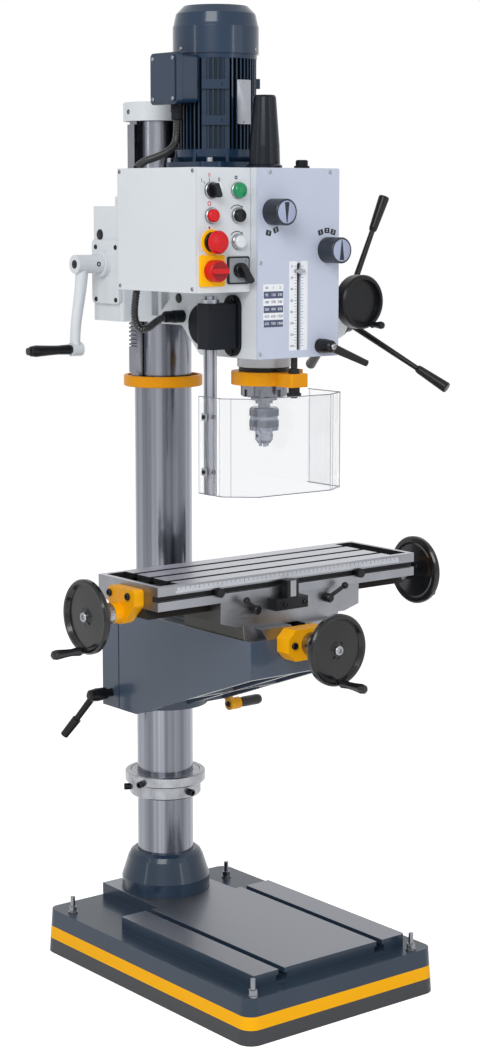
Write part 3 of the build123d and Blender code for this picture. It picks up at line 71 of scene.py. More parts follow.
class Facing(Enum):
    """Which way a fitting looks: its local X, its local Y and its outward axis in the frame."""

    FRONT = ((1, 0, 0), (0, 0, 1), (0, -1, 0))
    LEFT = ((0, -1, 0), (0, 0, 1), (-1, 0, 0))
    RIGHT = ((0, 1, 0), (0, 0, 1), (1, 0, 0))
    UP = ((1, 0, 0), (0, 1, 0), (0, 0, 1))

    def at(self, x: float, y: float, z: float, turn: float = 0.0) -> Matrix:
        """Makes a fitting's seat in the frame, from millimetres and degrees about its outward axis."""
        axes = Matrix([Vector(v) for v in self.value]).transposed().to_4x4()
        return Matrix.Translation((x, y, z)) @ axes @ Matrix.Rotation(math.radians(turn), 4, "Z")

    def grid(self, across: Sequence[float], towards: Sequence[float], up: Sequence[float]) -> list[Matrix]:
        """Makes a seat wherever the places across, towards the column and up meet."""
        return [self.at(x, y, z) for x in across for y in towards for z in up]


FRONT, LEFT, RIGHT, UP = Facing


def round_seats(centre: Flat, *places: Point) -> list[Matrix]:
    """Makes seats that look out from an upright axis, each at a radius, an angle from +X and a height."""
    return [Matrix.Translation((*centre, 0)) @ Matrix.Rotation(math.radians(angle), 4, "Z")
            @ RIGHT.at(r, 0, z) for r, angle, z in places]


def ring(inner: float, outer: float, height: float, *slope: float) -> list[Flat]:
    """Draws a ring's half section, with a chamfer of the given width and height on its outer edge."""
    edge = [(outer, height - slope[1]), (outer - slope[0], height)] if slope else [(outer, height)]
    return [(inner, 0), (outer, 0), *edge, (inner, height), (inner, 0)]


def arc(inner: float, outer: float, start: float, end: float, steps: int = 10) -> list[Flat]:
    """Draws a flat arc with width, between two angles in degrees."""
    angles = [math.radians(start + (end - start) * i / steps) for i in range(steps + 1)]
    return [(r * math.cos(a), r * math.sin(a)) for r, way in ((outer, 1), (inner, -1)) for a in angles[::way]]


def linear(code: str) -> Colour:
    """Turns an sRGB colour written "#RRGGBB" into linear red, green and blue, with an alpha of 1."""
    shares = [int(code[i:i + 2], 16) / 255 for i in (1, 3, 5)]
    return *(s / 12.92 if s <= 0.04045 else ((s + 0.055) / 1.055) ** 2.4 for s in shares), 1.0


def add_node(tree: Tree, kind: str, inputs: dict[str | int, Any] | None = None, **settings: Any) -> Node:
    """Adds a shader node, links the inputs given as sockets and sets the others.

    Args:
        tree: node tree to add to.
        kind: the node's class name after ShaderNode.
        inputs: values or output sockets by input name or number.
        **settings: properties of the node itself.

    Returns:
        The new node.
    """
    node = tree.nodes.new("ShaderNode" + kind)
    for name, value in settings.items():
        setattr(node, name, value)
    for key, value in (inputs or {}).items():
        if isinstance(value, Socket):
            tree.links.new(value, node.inputs[key])
        else:
            node.inputs[key].default_value = value
    return node


@dataclass(frozen=True)
class Zone:
    """A band of a piece with its own finish, between two places along each axis it names."""

    spans: tuple[tuple[int, float, float], ...]
    colour: str
    metallic: float = 0.0
    roughness: float = 0.4
    upward: bool = False
    axle: Flat = (0.0, 0.0)
    specular: float = 0.3

    def mask(self, tree: Tree, coords: Node) -> Socket:
        """Builds the zone's mask.

        Args:
            tree: node tree to add to.
            coords: texture coordinate node of the material.

        Returns:
            Socket that is 1 in the zone and 0 outside it.
        """
        place = add_node(tree, "SeparateXYZ", {0: coords.outputs["Object"]})
        lean = add_node(tree, "SeparateXYZ", {0: coords.outputs["Normal"]})
        level = add_node(tree, "VectorMath", {0: coords.outputs["Object"], 1: (1.0, 1.0, 0.0)},
                         operation="MULTIPLY")
        away = add_node(tree, "VectorMath", {
            0: level.outputs[0], 1: (self.axle[0] * MM, self.axle[1] * MM, 0.0)}, operation="DISTANCE")
        along = [*place.outputs, away.outputs["Value"]]
        tests = [(lean.outputs[2], UPWARD, "GREATER_THAN")] if self.upward else []
        for axis, low, high in self.spans:
            tests += [(along[axis], low * MM, "GREATER_THAN"), (along[axis], high * MM, "LESS_THAN")]
        inside: Socket | float = 1.0
        for value, limit, operation in tests:
            test = add_node(tree, "Math", {0: value, 1: limit}, operation=operation)
            both = add_node(tree, "Math", {0: inside, 1: test.outputs[0]}, operation="MULTIPLY")
            inside = both.outputs[0]
        return inside


@dataclass(frozen=True)
class Surface:
    """A real surface that becomes one procedural material on object coordinates; lengths are millimetres."""

    name: str
    colour: str

    def material(self) -> bpy.types.Material:
        """Returns this surface's material, building it on first use.

        Returns:
            The one material of that name.
        """
        found = bpy.data.materials.get(self.name)
        if found is None:
            found = bpy.data.materials.new(self.name)
            found.use_nodes = True
            tree = found.node_tree
            tree.nodes.clear()
            add_node(tree, "OutputMaterial", {"Surface": self.shader(tree).outputs[0]})
        return found

    def shader(self, tree: Tree) -> Node:
        """Builds the nodes up to the shader, which each kind of surface does in its own way."""
        raise NotImplementedError


@dataclass(frozen=True)
class Finish(Surface):
    """A covering surface: cloudy tones, fine grain, rounded edges and zones of another finish."""

    shade: str
    roughness: float
    spread: float = 0.05
    metallic: float = 0.0
    patch: float = 150.0
    drawn: float = 1.0
    grain: Point = (4.0, 4.0, 4.0)
    relief: float = 0.02
    edge: float = 0.8
    specular: float = 0.5
    coat: float = 0.0
    glow: float = 0.0
    zones: tuple[Zone, ...] = ()

    def toned(self, name: str, colour: str, shade: str, **changes: Any) -> "Finish":
        """Returns the same surface in other tones, with any other changes."""
        return replace(self, name=name, colour=colour, shade=shade, **changes)

    def zoned(self, name: str, *zones: Zone) -> "Finish":
        """Returns the same surface with zones."""
        return replace(self, name=name, zones=zones)

    def shader(self, tree: Tree) -> Node:
        """Builds the finish's nodes.

        Args:
            tree: empty node tree.

        Returns:
            The shader node.
        """
        coords = add_node(tree, "TexCoord")
        place = coords.outputs["Object"]
        drawn = add_node(tree, "Mapping", {"Vector": place, "Scale": (1.0, 1.0, 1 / self.drawn)})
        cloud = add_node(tree, "TexNoise", {
            "Vector": drawn.outputs[0], "Scale": 1 / (self.patch * MM), "Detail": 3.0})
        share = add_node(tree, "MapRange", {"Value": cloud.outputs[0], **NOISE_RANGE}).outputs[0]
        # A Mix node has its share at input 0, numbers at 2 and 3 and colours at 6 and 7.
        # Mixed numbers come out at 0 and mixed colours at 2.
        tone = add_node(tree, "Mix", {0: share, 6: linear(self.colour), 7: linear(self.shade)},
                        data_type="RGBA").outputs[2]
        fine = add_node(tree, "Mapping", {"Vector": place, "Scale": [1 / (g * MM) for g in self.grain]})
        grain = add_node(tree, "TexNoise", {"Vector": fine.outputs[0], "Scale": 1.0, "Detail": 2.0})
        gloss = add_node(tree, "MapRange", {
            "Value": grain.outputs[0], **NOISE_RANGE, "To Min": self.roughness - self.spread,
            "To Max": self.roughness + self.spread}).outputs[0]
        rounded = add_node(tree, "Bevel", {"Radius": self.edge * MM}, samples=4)
        relief = add_node(tree, "Bump", {
            "Strength": 1.0, "Distance": self.relief * MM, "Height": grain.outputs[0],
            "Normal": rounded.outputs[0]})
        values: dict[str | int, Any] = {
            "Roughness": gloss, "Metallic": self.metallic, "Specular IOR Level": self.specular}
        for zone in self.zones:
            mask = zone.mask(tree, coords)
            tone = add_node(tree, "Mix", {0: mask, 6: tone, 7: linear(zone.colour)},
                            data_type="RGBA").outputs[2]
            for name, value in zip(list(values), (zone.roughness, zone.metallic, zone.specular)):
                values[name] = add_node(tree, "Mix", {0: mask, 2: values[name], 3: value}).outputs[0]
        return add_node(tree, "BsdfPrincipled", {
            "Base Color": tone, "Normal": relief.outputs[0], "Coat Weight": self.coat,
            "Coat Roughness": COAT_ROUGHNESS, "Emission Color": linear(self.colour),
            "Emission Strength": self.glow, **values})


@dataclass(frozen=True)
class ClearSheet(Surface):
    """Bent clear plastic: tinted a little, with slight waviness."""

    roughness: float
    wave: float
    cover: float
    ior: float = 1.45
    strength: float = 0.4
    relief: float = 0.05

    def shader(self, tree: Tree) -> Node:
        """Builds the sheet's nodes.

        Args:
            tree: empty node tree.

        Returns:
            The shader node.
        """
        place = add_node(tree, "TexCoord").outputs["Object"]
        ripple = add_node(tree, "TexNoise", {"Vector": place, "Scale": 1 / (self.wave * MM)})
        relief = add_node(tree, "Bump", {
            "Strength": self.strength, "Distance": self.relief * MM, "Height": ripple.outputs[0]})
        return add_node(tree, "BsdfPrincipled", {
            "Base Color": linear(self.colour), "Roughness": self.roughness, "IOR": self.ior,
            "Transmission Weight": 1.0, "Alpha": self.cover, "Normal": relief.outputs[0]})


# Stoved slate enamel on cast iron, filled and smooth.
SLATE = Finish("slate_enamel", "#24364B", "#1F3043", 0.3, spread=0.0, patch=260, relief=0.0, edge=1.6,
               specular=0.2, coat=0.35)
# The same enamel on the base, with its grey foot, yellow band and machined plate.
BASE_ENAMEL = SLATE.toned("base_enamel", "#2E3D4E", "#293747", coat=0.2, zones=(
    Zone(((Z, -1, 28),), "#424448", 0.0, 0.45, specular=0.1),
    Zone(((Z, 28, 52),), "#FFB708", 0.0, 0.45, specular=0.0),
    Zone(((Z, 109.3, 112),), "#84878F", 1.0, 0.42, True)))
# The same enamel on the knee, painted lighter for the sheen of reflected light on its sides, with its ground
# top and dovetail way.
LIT_KNEE_ENAMEL = SLATE.toned("knee_enamel_painted_sheen", "#465365", "#3D4A5B", zones=(
    Zone(((Z, 684.6, 710),), "#85888D", 1.0, 0.36),))
# Gloss blue-grey enamel on the cast aluminium motor.
MOTOR_ENAMEL = SLATE.toned("motor_enamel", "#1E344C", "#192E45", roughness=0.26, patch=120, edge=1.0,
                           coat=0.4)
# The same enamel on the finned frame, with painted shade between the fins and a lighter painted shade between
# the ribs of the foot pad.
SHADED_FIN_ROOTS = ((AWAY, 0, 73.0), (Z, 1555.5, 1714.5))
FIN_ENAMEL = replace(MOTOR_ENAMEL, name="fin_enamel", edge=0.4, coat=0.2, zones=(
    Zone(SHADED_FIN_ROOTS, "#070D14", 0.0, 0.7, axle=MOTOR_AXIS, specular=0.05),
    Zone((*SHADED_FIN_ROOTS, (X, -61, -23), (Y, -13, 17)), "#15212C", 0.0, 0.5, axle=MOTOR_AXIS, specular=0.1)))
# Off-white enamel on castings and sheet steel.
WHITE = Finish("white_enamel", "#D7DCE1", "#D1D6DB", 0.36, patch=300, grain=(6, 6, 6), edge=1.2,
               specular=0.35, coat=0.2)
# The same enamel on the lift crank, with the black end cap of its grip's pin.
CRANK_WHITE = WHITE.zoned("crank_white", Zone(((X, -320, -287.6),), "#1A1B1E", 0.0, 0.35))
# Pale blue-grey satin paint on the front panel.
PANEL = WHITE.toned("panel_satin", "#C3CBDD", "#BDC5D8", roughness=0.42, patch=220, relief=0.01, edge=0.8,
                    specular=0.3, coat=0.0)
# Signal yellow enamel.
YELLOW = Finish("yellow_enamel", "#E69903", "#DD9002", 0.36, patch=90, relief=0.03, edge=1.0, specular=0.15,
                coat=0.05)
# The same enamel, painted lighter on the screw brackets to offset the shade they stand in under the table.
LIT_BRACKET_YELLOW = YELLOW.toned("lit_bracket_enamel", "#FFB405", "#F8AC02", coat=0.15)
# Yellow crank in that lightened enamel, with a dark turned grip and a bare pinion shaft.
CRANK_ENAMEL = LIT_BRACKET_YELLOW.zoned("crank_enamel", Zone(((X, 158.5, 260),), "#17181B", 0.0, 0.32),
                                    Zone(((X, -60, 109),), "#85888D", 1.0, 0.3))
# Ground and honed steel, its fine lines drawn coarser than life.
STEEL = Finish("honed_steel", "#8C8E95", "#797B82", 0.24, metallic=1.0, patch=60, grain=(3, 3, 40),
               relief=0.004, edge=0.5)
# Hard-chromed column, with painted reflection streaks drawn along its length in dark and light tones.
COLUMN = STEEL.toned("column_painted_reflections", "#9A9CA6", "#5A5C64", roughness=0.18, patch=18, drawn=400)
# Turned steel collars, left brighter by the tool.
TURNED = STEEL.toned("turned_steel", "#A8AAAF", "#888A90", roughness=0.3, patch=26)
# Ground cast iron of the saddle, rough on its flanks, which are painted dark as the shade under the table.
SHADED_FLANKS = ((-170, -161), (-113, -104), (104, 113), (161, 170))
IRON = STEEL.toned("scraped_iron", "#8E9095", "#83858A", roughness=0.36, patch=45, grain=(30, 3, 3),
                   relief=0.006, edge=0.8, zones=tuple(
                       Zone(((X, *flank), (Y, -164.5, 20)), "#3B3A38", 0.2, 0.5) for flank in SHADED_FLANKS))
# The same iron on the table, painted paler on top where the light falls, with painted shade in its troughs
# and front slot and on its underside.
TABLE_IRON = IRON.toned("table_iron", "#93959B", "#888A90", zones=(
    Zone(((Z, 802.6, 804),), "#BCBDC4", 1.0, 0.36, True),
    Zone(((X, -290.6, 290.6), (Y, -156.6, 4.6), (Z, 765, 802.6)), "#17181A", 0.0, 0.5),
    Zone(((Z, 776.2, 785.8), (Y, -165.4, -150)), "#141517", 0.0, 0.6),
    Zone(((Z, 690, 759.8),), "#24211E", 0.0, 0.6)))
# Blackened steel screws, nuts and hubs.
DARK_STEEL = Finish("blackened_steel", "#26272A", "#1E1F21", 0.38, metallic=0.5, patch=30, grain=(2, 2, 2),
                    relief=0.01, edge=0.4, specular=0.3)
# Blackened depth rod with its bright pointer.
POINTED_ROD = DARK_STEEL.zoned("pointed_rod", Zone(((Z, 1333.5, 1345.5),), "#9A9CA2", 1.0, 0.3))
# Bright zinc and nickel on small fasteners.
BRIGHT = STEEL.toned("bright_zinc", "#A3A5A9", "#8F9195", roughness=0.28, patch=20, grain=(2, 2, 2), edge=0.3)
# Chromed chuck body, and its knurled bands painted darker all over for the shade in their grooves.
CHROME = BRIGHT.toned("chuck_chrome", "#A3A6B2", "#9194A0", roughness=0.24, patch=25, relief=0.003, edge=0.4)
KNURLED = CHROME.toned("knurled_chrome", "#5C5F67", "#52555C", roughness=0.4)
# Anodised aluminium profile and plates.
ALUMINIUM = STEEL.toned("anodised_aluminium", "#A4A6AE", "#989AA2", roughness=0.38, grain=(2, 2, 40),
                        relief=0.005, edge=0.4)
# Moulded black phenolic, fairly glossy.
BLACK = Finish("black_phenolic", "#131418", "#0F1013", 0.32, patch=60, grain=(3, 3, 3), relief=0.01,
               specular=0.25)
# Black gloss handwheels.
WHEEL = BLACK.toned("wheel_gloss", "#17181B", "#121316", roughness=0.22, patch=80, grain=(4, 4, 4), edge=1.2,
                    specular=0.2, coat=0.4)
# Matt charcoal moulding of the glands, spring cover and guard bracket.
CHARCOAL = BLACK.toned("charcoal_moulding", "#13171E", "#0F1319", roughness=0.5, patch=70,
                       grain=(1.5, 1.5, 1.5), relief=0.03, edge=1.0, specular=0.15)
# The same moulding, glossier, on the drawbar cover.
COVER = CHARCOAL.toned("cover_gloss", "#121924", "#0E141D", roughness=0.3, coat=0.15)
# Black corrugated nylon conduit.
HOSE = BLACK.toned("conduit_nylon", "#17181B", "#131416", roughness=0.3, patch=30, grain=(2, 2, 2), edge=0.2,
                   specular=0.5, coat=0.2)
# Dark slate plastic of the speed knobs, and the film on their pale faces.
KNOB = BLACK.toned("knob_plastic", "#2B313A", "#252B33", roughness=0.36, patch=40, specular=0.35)
KNOB_FACE = KNOB.toned("knob_film", "#A5AEC9", "#9EA7C3", roughness=0.4, relief=0.0, edge=0.2, specular=0.3)
# Signal red plastic.
RED = KNOB.toned("signal_red", "#D0141C", "#C61219", roughness=0.3, specular=0.25)
# Red painted darker, as the shade in the recess behind the main switch's grip.
SHADED_RED = RED.toned("shaded_red", "#960D14", "#8C0B12")
# Red mushroom head on its black neck.
RED_ON_NECK = RED.zoned("red_on_black_neck", Zone(((Y, -176.8, -140),), "#1B1C1E"))
# White and green translucent caps.
PALE = KNOB.toned("white_cap", "#DDE1E6", "#D5DADF", roughness=0.34, edge=0.6, specular=0.5)
GREEN = KNOB.toned("green_lens", "#008A54", "#007A4A", roughness=0.22, patch=12, relief=0.02, edge=0.6,
                   coat=0.1, glow=0.06)
# Yellow and grey plastic of the switch plates.
SIGNAL = KNOB.toned("yellow_plastic", "#FFC010", "#FAB808", specular=0.12)
GREY = KNOB.toned("grey_plate", "#9298A0", "#8A9098", roughness=0.4, edge=0.5, specular=0.3)
# Printing inks on the panel and box.
INK = Finish("dark_ink", "#30353D", "#2A2F37", 0.5, patch=30, grain=(2, 2, 2), relief=0.0, edge=0.1,
             specular=0.2)
ROW_INK = INK.toned("blue_grey_ink", "#565D77", "#505771")
RED_INK = INK.toned("red_ink", "#C8242C", "#BE2028")
# Printed films: the table's rule, and the white ones on the panel.
RULE = INK.toned("rule_film", "#C4C7CE", "#BDC0C8", roughness=0.45, patch=60, grain=(4, 4, 4), specular=0.3)
PAPER = RULE.toned("white_film", "#ECEFF4", "#E6EAF0")
# Clear bent polycarbonate, and grey beads along its sawn edges and bends, painted for the light the sheet
# bends and reflects there.
POLYCARBONATE = ClearSheet("clear_polycarbonate", "#6F7987", roughness=0.03, wave=60.0, cover=0.14)
SAWN_EDGE_AND_FOLD_LINES = KNOB_FACE.toned("sawn_edge_and_fold_lines", "#868A98", "#7C808E", patch=60, specular=0.5)
# Pale matt studio paper that carries the shadow and runs out into the white surround.
STUDIO_PAPER = Finish("studio_paper", "#F4F4F4", "#F2F2F2", 0.9, patch=900, grain=(30, 30, 30), relief=0.0)


def paint(surface: Surface, *nodes: str) -> None:
    """Gives carried-over CAD nodes a surface.

    Args:
        surface: surface to give.
        *nodes: names of CAD nodes.
    """
    for name in nodes:
        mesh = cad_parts[name].data
        mesh.materials.clear()
        mesh.materials.append(surface.material())


def add_object(name: str, data: bpy.types.ID) -> bpy.types.Object:
    """Makes an object and puts it in the scene.

    Args:
        name: name of the object.
        data: its mesh, light or camera.

    Returns:
        The new object.
    """
    made = bpy.data.objects.new(name, data)
    bpy.context.scene.collection.objects.link(made)
    return made


def traced(curve: bpy.types.Curve) -> bpy.types.Mesh:
    """Turns a curve or text into a mesh.

    Args:
        curve: curve data; it is removed.

    Returns:
        The mesh in the curve's own axes.
    """
    holder = bpy.data.objects.new(curve.name, curve)
    mesh = bpy.data.meshes.new_from_object(holder)
    bpy.data.objects.remove(holder)
    bpy.data.curves.remove(curve)
    return mesh


class Shape:
    """A piece under construction, in millimetres and in the frame."""

    # A cap screw's flat crown, chamfer and key as shares of its radius, and its socket as one of its height.
    CROWN, CHAMFER, KEY, SOCKET = 0.86, 0.14, 0.56, 0.6
    # Font size for a numeral one unit tall.
    FONT_SIZE = 1.42
    # Sides of the bead along a sheet's edges.
    BEAD_SIDES = 6
    # Vertices nearer than this become one, in made meshes and in those from CAD.
    WELD, CAD_WELD = 0.001, 0.01

    def __init__(self) -> None:
        """Starts with an empty mesh."""
        self.mesh = bmesh.new()

    def take(self, other: bmesh.types.BMesh, seat: Matrix) -> "Shape":
        """Moves another mesh to its seat and adds it.

        Args:
            other: mesh in its own axes; it is freed.
            seat: matrix to the frame.

        Returns:
            This shape.
        """
        bmesh.ops.transform(other, matrix=seat, verts=other.verts)
        passing = bpy.data.meshes.new("passing")
        other.to_mesh(passing)
        other.free()
        self.mesh.from_mesh(passing)
        bpy.data.meshes.remove(passing)
        return self

    def lathe(self, seat: Matrix, *profile: Flat, steps: int = TURNED_SIDES) -> "Shape":
        """Adds a turned piece.

        Args:
            seat: where its axis starts; heights run outwards.
            *profile: half section as radius and height.
            steps: sides of the turn.

        Returns:
            This shape.
        """
        own = bmesh.new()
        points = [own.verts.new((r, 0.0, h)) for r, h in profile]
        lines = [own.edges.new(pair) for pair in zip(points, points[1:])]
        bmesh.ops.spin(own, geom=points + lines, cent=(0, 0, 0), axis=(0, 0, 1), angle=math.tau, steps=steps,
                       use_merge=True)
        bmesh.ops.remove_doubles(own, verts=own.verts, dist=self.WELD)
        bmesh.ops.recalc_face_normals(own, faces=own.faces)
        return self.take(own, seat)

    def slab(self, seat: Matrix, width: float, height: float, depth: float, corner: float = 0.0,
             edge: float = 0.0) -> "Shape":
        """Adds a flat plate that stands out from its seat.

        Args:
            seat: middle of its back.
            width: size along the seat's X.
            height: size along the seat's Y.
            depth: thickness.
            corner: radius of its four corners.
            edge: rounding of its front edges.

        Returns:
            This shape.
        """
        own = bmesh.new()
        bmesh.ops.create_grid(own, x_segments=1, y_segments=1, size=0.5)
        bmesh.ops.scale(own, vec=(width, height, 1.0), verts=own.verts)
        if corner:
            bmesh.ops.bevel(own, geom=own.verts[:], offset=corner, offset_type="OFFSET", segments=4,
                            profile=0.5, affect="VERTICES", material=-1)
        return self._raise(own, seat, depth, edge)

    def prism(self, seat: Matrix, outline: Sequence[Flat], depth: float) -> "Shape":
        """Adds a flat outline raised from its seat.

        Args:
            seat: origin of the outline.
            outline: corners in the seat's X and Y.
            depth: thickness.

        Returns:
            This shape.
        """
        own = bmesh.new()
        corners = [own.verts.new((x, y, 0.0)) for x, y in outline]
        sides = [own.edges.new(pair) for pair in zip(corners, corners[1:] + corners[:1])]
        bmesh.ops.edgeloop_fill(own, edges=sides)
        return self._raise(own, seat, depth)

    def knurl(self, seat: Matrix, r: float, height: float, teeth: int, depth: float) -> "Shape":
        """Adds a straight-knurled band.

        Args:
            seat: start of its axis.
            r: outer radius.
            height: length along the axis.
            teeth: ridges round it.
            depth: depth of the grooves.

        Returns:
            This shape.
        """
        own = bmesh.new()
        made = bmesh.ops.create_circle(own, segments=2 * teeth, radius=r, cap_ends=True)["verts"]
        share = 1 - depth / r
        bmesh.ops.scale(own, vec=(share, share, 1.0), verts=made[::2])
        return self._raise(own, seat, height)

    def _raise(self, own: bmesh.types.BMesh, seat: Matrix, depth: float, edge: float = 0.0) -> "Shape":
        """Raises a flat mesh into a solid and adds it.

        Args:
            own: one flat face.
            seat: matrix to the frame.
            depth: thickness.
            edge: rounding of its front edges.

        Returns:
            This shape.
        """
        grown = bmesh.ops.extrude_face_region(own, geom=own.faces[:], use_keep_orig=True)["geom"]
        top = [part for part in grown if isinstance(part, bmesh.types.BMVert)]
        bmesh.ops.translate(own, vec=(0, 0, depth), verts=top)
        if edge:
            rim = {line for part in grown if isinstance(part, bmesh.types.BMFace) for line in part.edges}
            bmesh.ops.bevel(own, geom=list(rim), offset=edge, offset_type="OFFSET", segments=2,
                            profile=0.5, affect="EDGES", material=-1)
        bmesh.ops.recalc_face_normals(own, faces=own.faces)
        return self.take(own, seat)

    def cap_screws(self, r: float, height: float, *seats: Matrix, steps: int = SCREW_SIDES) -> "Shape":
        """Adds heads of cap screws, each with a hexagon socket.

        Args:
            r: radius of a head.
            height: height of a head.
            *seats: middle of the face that each is screwed to.
            steps: sides of a head.

        Returns:
            This shape.
        """
        cut = r * self.CHAMFER
        for seat in seats:
            own = bmesh.new()
            bmesh.ops.create_circle(own, segments=steps, radius=r * self.CROWN)
            crown = own.edges[:]
            bmesh.ops.create_circle(own, segments=6, radius=r * self.KEY)
            key = [line for line in own.edges if line not in crown]
            bmesh.ops.bridge_loops(own, edges=crown + key)
            outside, inside = ((1 / self.CROWN, cut), (1.0, height - cut)), ((1.0, height * self.SOCKET),)
            for loop, moves in ((crown, outside), (key, inside)):
                for share, drop in moves:
                    grown = bmesh.ops.extrude_edge_only(own, edges=loop)["geom"]
                    ends = [part for part in grown if isinstance(part, bmesh.types.BMVert)]
                    loop = [part for part in grown if isinstance(part, bmesh.types.BMEdge)]
                    bmesh.ops.scale(own, vec=(share, share, 1.0), verts=ends)
                    bmesh.ops.translate(own, vec=(0, 0, -drop), verts=ends)
                bmesh.ops.edgeloop_fill(own, edges=loop)
            bmesh.ops.recalc_face_normals(own, faces=own.faces)
            self.take(own, seat @ Matrix.Translation((0, 0, height)))
        return self

    def lettering(self, seat: Matrix, text: str, height: float, depth: float) -> "Shape":
        """Adds plain numerals.

        Args:
            seat: middle of the text.
            text: numerals to set.
            height: height of a numeral.
            depth: thickness.

        Returns:
            This shape.
        """
        font = bpy.data.curves.new("numerals", "FONT")
        font.body, font.size, font.extrude = text, height * self.FONT_SIZE, depth / 2
        font.align_x, font.align_y, font.resolution_u = "CENTER", "CENTER", 3
        flat = traced(font)
        own = bmesh.new()
        own.from_mesh(flat)
        bmesh.ops.remove_doubles(own, verts=own.verts, dist=self.WELD)
        bpy.data.meshes.remove(flat)
        return self.take(own, seat @ Matrix.Translation((0, 0, depth / 2)))

    def rim(self, node: str, r: float, fold: float) -> "Shape":
        """Adds a thin bead along the sharp edges of a CAD node.

        Args:
            node: name of the CAD node.
            r: radius of the bead.
            fold: least angle between two faces that counts as sharp, degrees.

        Returns:
            This shape.
        """
        cad = bmesh.new()
        cad.from_mesh(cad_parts[node].data)
        bmesh.ops.scale(cad, vec=(1 / MM, 1 / MM, 1 / MM), verts=cad.verts)
        bmesh.ops.remove_doubles(cad, verts=cad.verts, dist=self.CAD_WELD)
        for line in cad.edges:
            if len(line.link_faces) == 2 and line.calc_face_angle() > math.radians(fold):
                start, end = (vert.co for vert in line.verts)
                turn = (end - start).to_track_quat("Z", "Y").to_matrix().to_4x4()
                bead = bmesh.new()
                bmesh.ops.create_cone(bead, cap_ends=True, segments=self.BEAD_SIDES, radius1=r, radius2=r,
                                      depth=line.calc_length())
                self.take(bead, Matrix.Translation((start + end) / 2) @ turn)
        cad.free()
        return self

    def piece(self, name: str, finish: Finish, body: str, slot: str,
              replaces: Iterable[str] = ()) -> bpy.types.Object:
        """Makes the finished object.

        Args:
            name: name of the piece.
            finish: its finish.
            body: CAD body it moves with.
            slot: material slot; not used.
            replaces: CAD nodes it stands for.

        Returns:
            The new object.
        """
        bmesh.ops.scale(self.mesh, vec=(MM, MM, MM), verts=self.mesh.verts)
        mesh = bpy.data.meshes.new(name)
        self.mesh.to_mesh(mesh)
        self.mesh.free()
        mesh.shade_smooth()
        mesh.set_sharp_from_angle(angle=math.radians(SHARP))
        mesh.materials.append(finish.material())
        made = add_object(name, mesh)
        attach(made, body)
        for node in replaces:
            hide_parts(node)
        LOG.info("%s rides on %s, %d faces", name, body, len(mesh.polygons))
        return made


@dataclass
class Conduit:
    """A corrugated tube that hangs between two glands; lengths are metres."""

    name: str
    node: str
    route: Sequence[Point]
    diameter: float = 0.014
    bore: float = 0.0096
    root: float = 0.012
    pitch: float = 0.005
    sides: int = 16

    def centre(self) -> list[Vector]:
        """Reads the tube's centre line from a spline through the route.

        Returns:
            Points along the line.
        """
        curve = bpy.data.curves.new(self.name + "_line", "CURVE")
        curve.dimensions = "3D"
        spline = curve.splines.new("NURBS")
        spline.points.add(len(self.route) - 1)
        for point, place in zip(spline.points, self.route):
            point.co = (*place, 1.0)
        spline.order_u, spline.use_endpoint_u, spline.resolution_u = 3, True, 24
        line = traced(curve)
        points = [vert.co.copy() for vert in line.vertices]
        bpy.data.meshes.remove(line)
        return points

    def build(self) -> None:
        line = self.centre()
        reach = [0.0]
        for a, b in zip(line, line[1:]):
            reach.append(reach[-1] + (b - a).length)
        total = reach[-1]
        ribs = int(total / self.pitch)
        rib = ((0.0, self.root), (0.2, self.diameter), (0.52, self.diameter), (0.72, self.root))
        stations = [((i + share) / ribs * total, size) for i in range(ribs) for share, size in rib]
        stations.append((total, self.root))
        mesh = bmesh.new()
        loops = [self._ring(mesh, line, reach, at, size / 2) for at, size in stations]
        loops += [self._ring(mesh, line, reach, at, self.bore / 2) for at, _ in reversed(stations)]
        for a, b in zip(loops, loops[1:] + loops[:1]):
            bmesh.ops.bridge_loops(mesh, edges=a + b)
        bmesh.ops.recalc_face_normals(mesh, faces=mesh.faces)
        bmesh.ops.scale(mesh, vec=(1 / MM, 1 / MM, 1 / MM), verts=mesh.verts)
        made = Shape().take(mesh, Matrix()).piece(self.name, HOSE, "head", "conduit", [self.node])
        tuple(self.route[0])
        [tuple(p) for p in line]

    def _ring(self, mesh: bmesh.types.BMesh, line: list[Vector], reach: list[float], at: float,
              r: float) -> list[bmesh.types.BMEdge]:
        """Adds one ring square to the line.

        Args:
            mesh: mesh to add to.
            line: points of the centre line.
            reach: distance along the line at each point.
            at: distance of the ring.
            r: radius of the ring.

        Returns:
            Edges of the ring.
        """
        i = max(k for k in range(len(line) - 1) if reach[k] <= at + 1e-9)
        share = (at - reach[i]) / (reach[i + 1] - reach[i])
        ahead = (line[min(i + 2, len(line) - 1)] - line[max(i - 1, 0)]).normalized()
        side = (Vector((0, 1, 0)) - ahead * ahead.y).normalized()
        axes = Matrix((side, ahead.cross(side), ahead)).transposed().to_4x4()
        seat = Matrix.Translation(line[i].lerp(line[i + 1], share)) @ axes
        made = bmesh.ops.create_circle(mesh, segments=self.sides, radius=r, matrix=seat)["verts"]
        return list({edge for vert in made for edge in vert.link_edges})


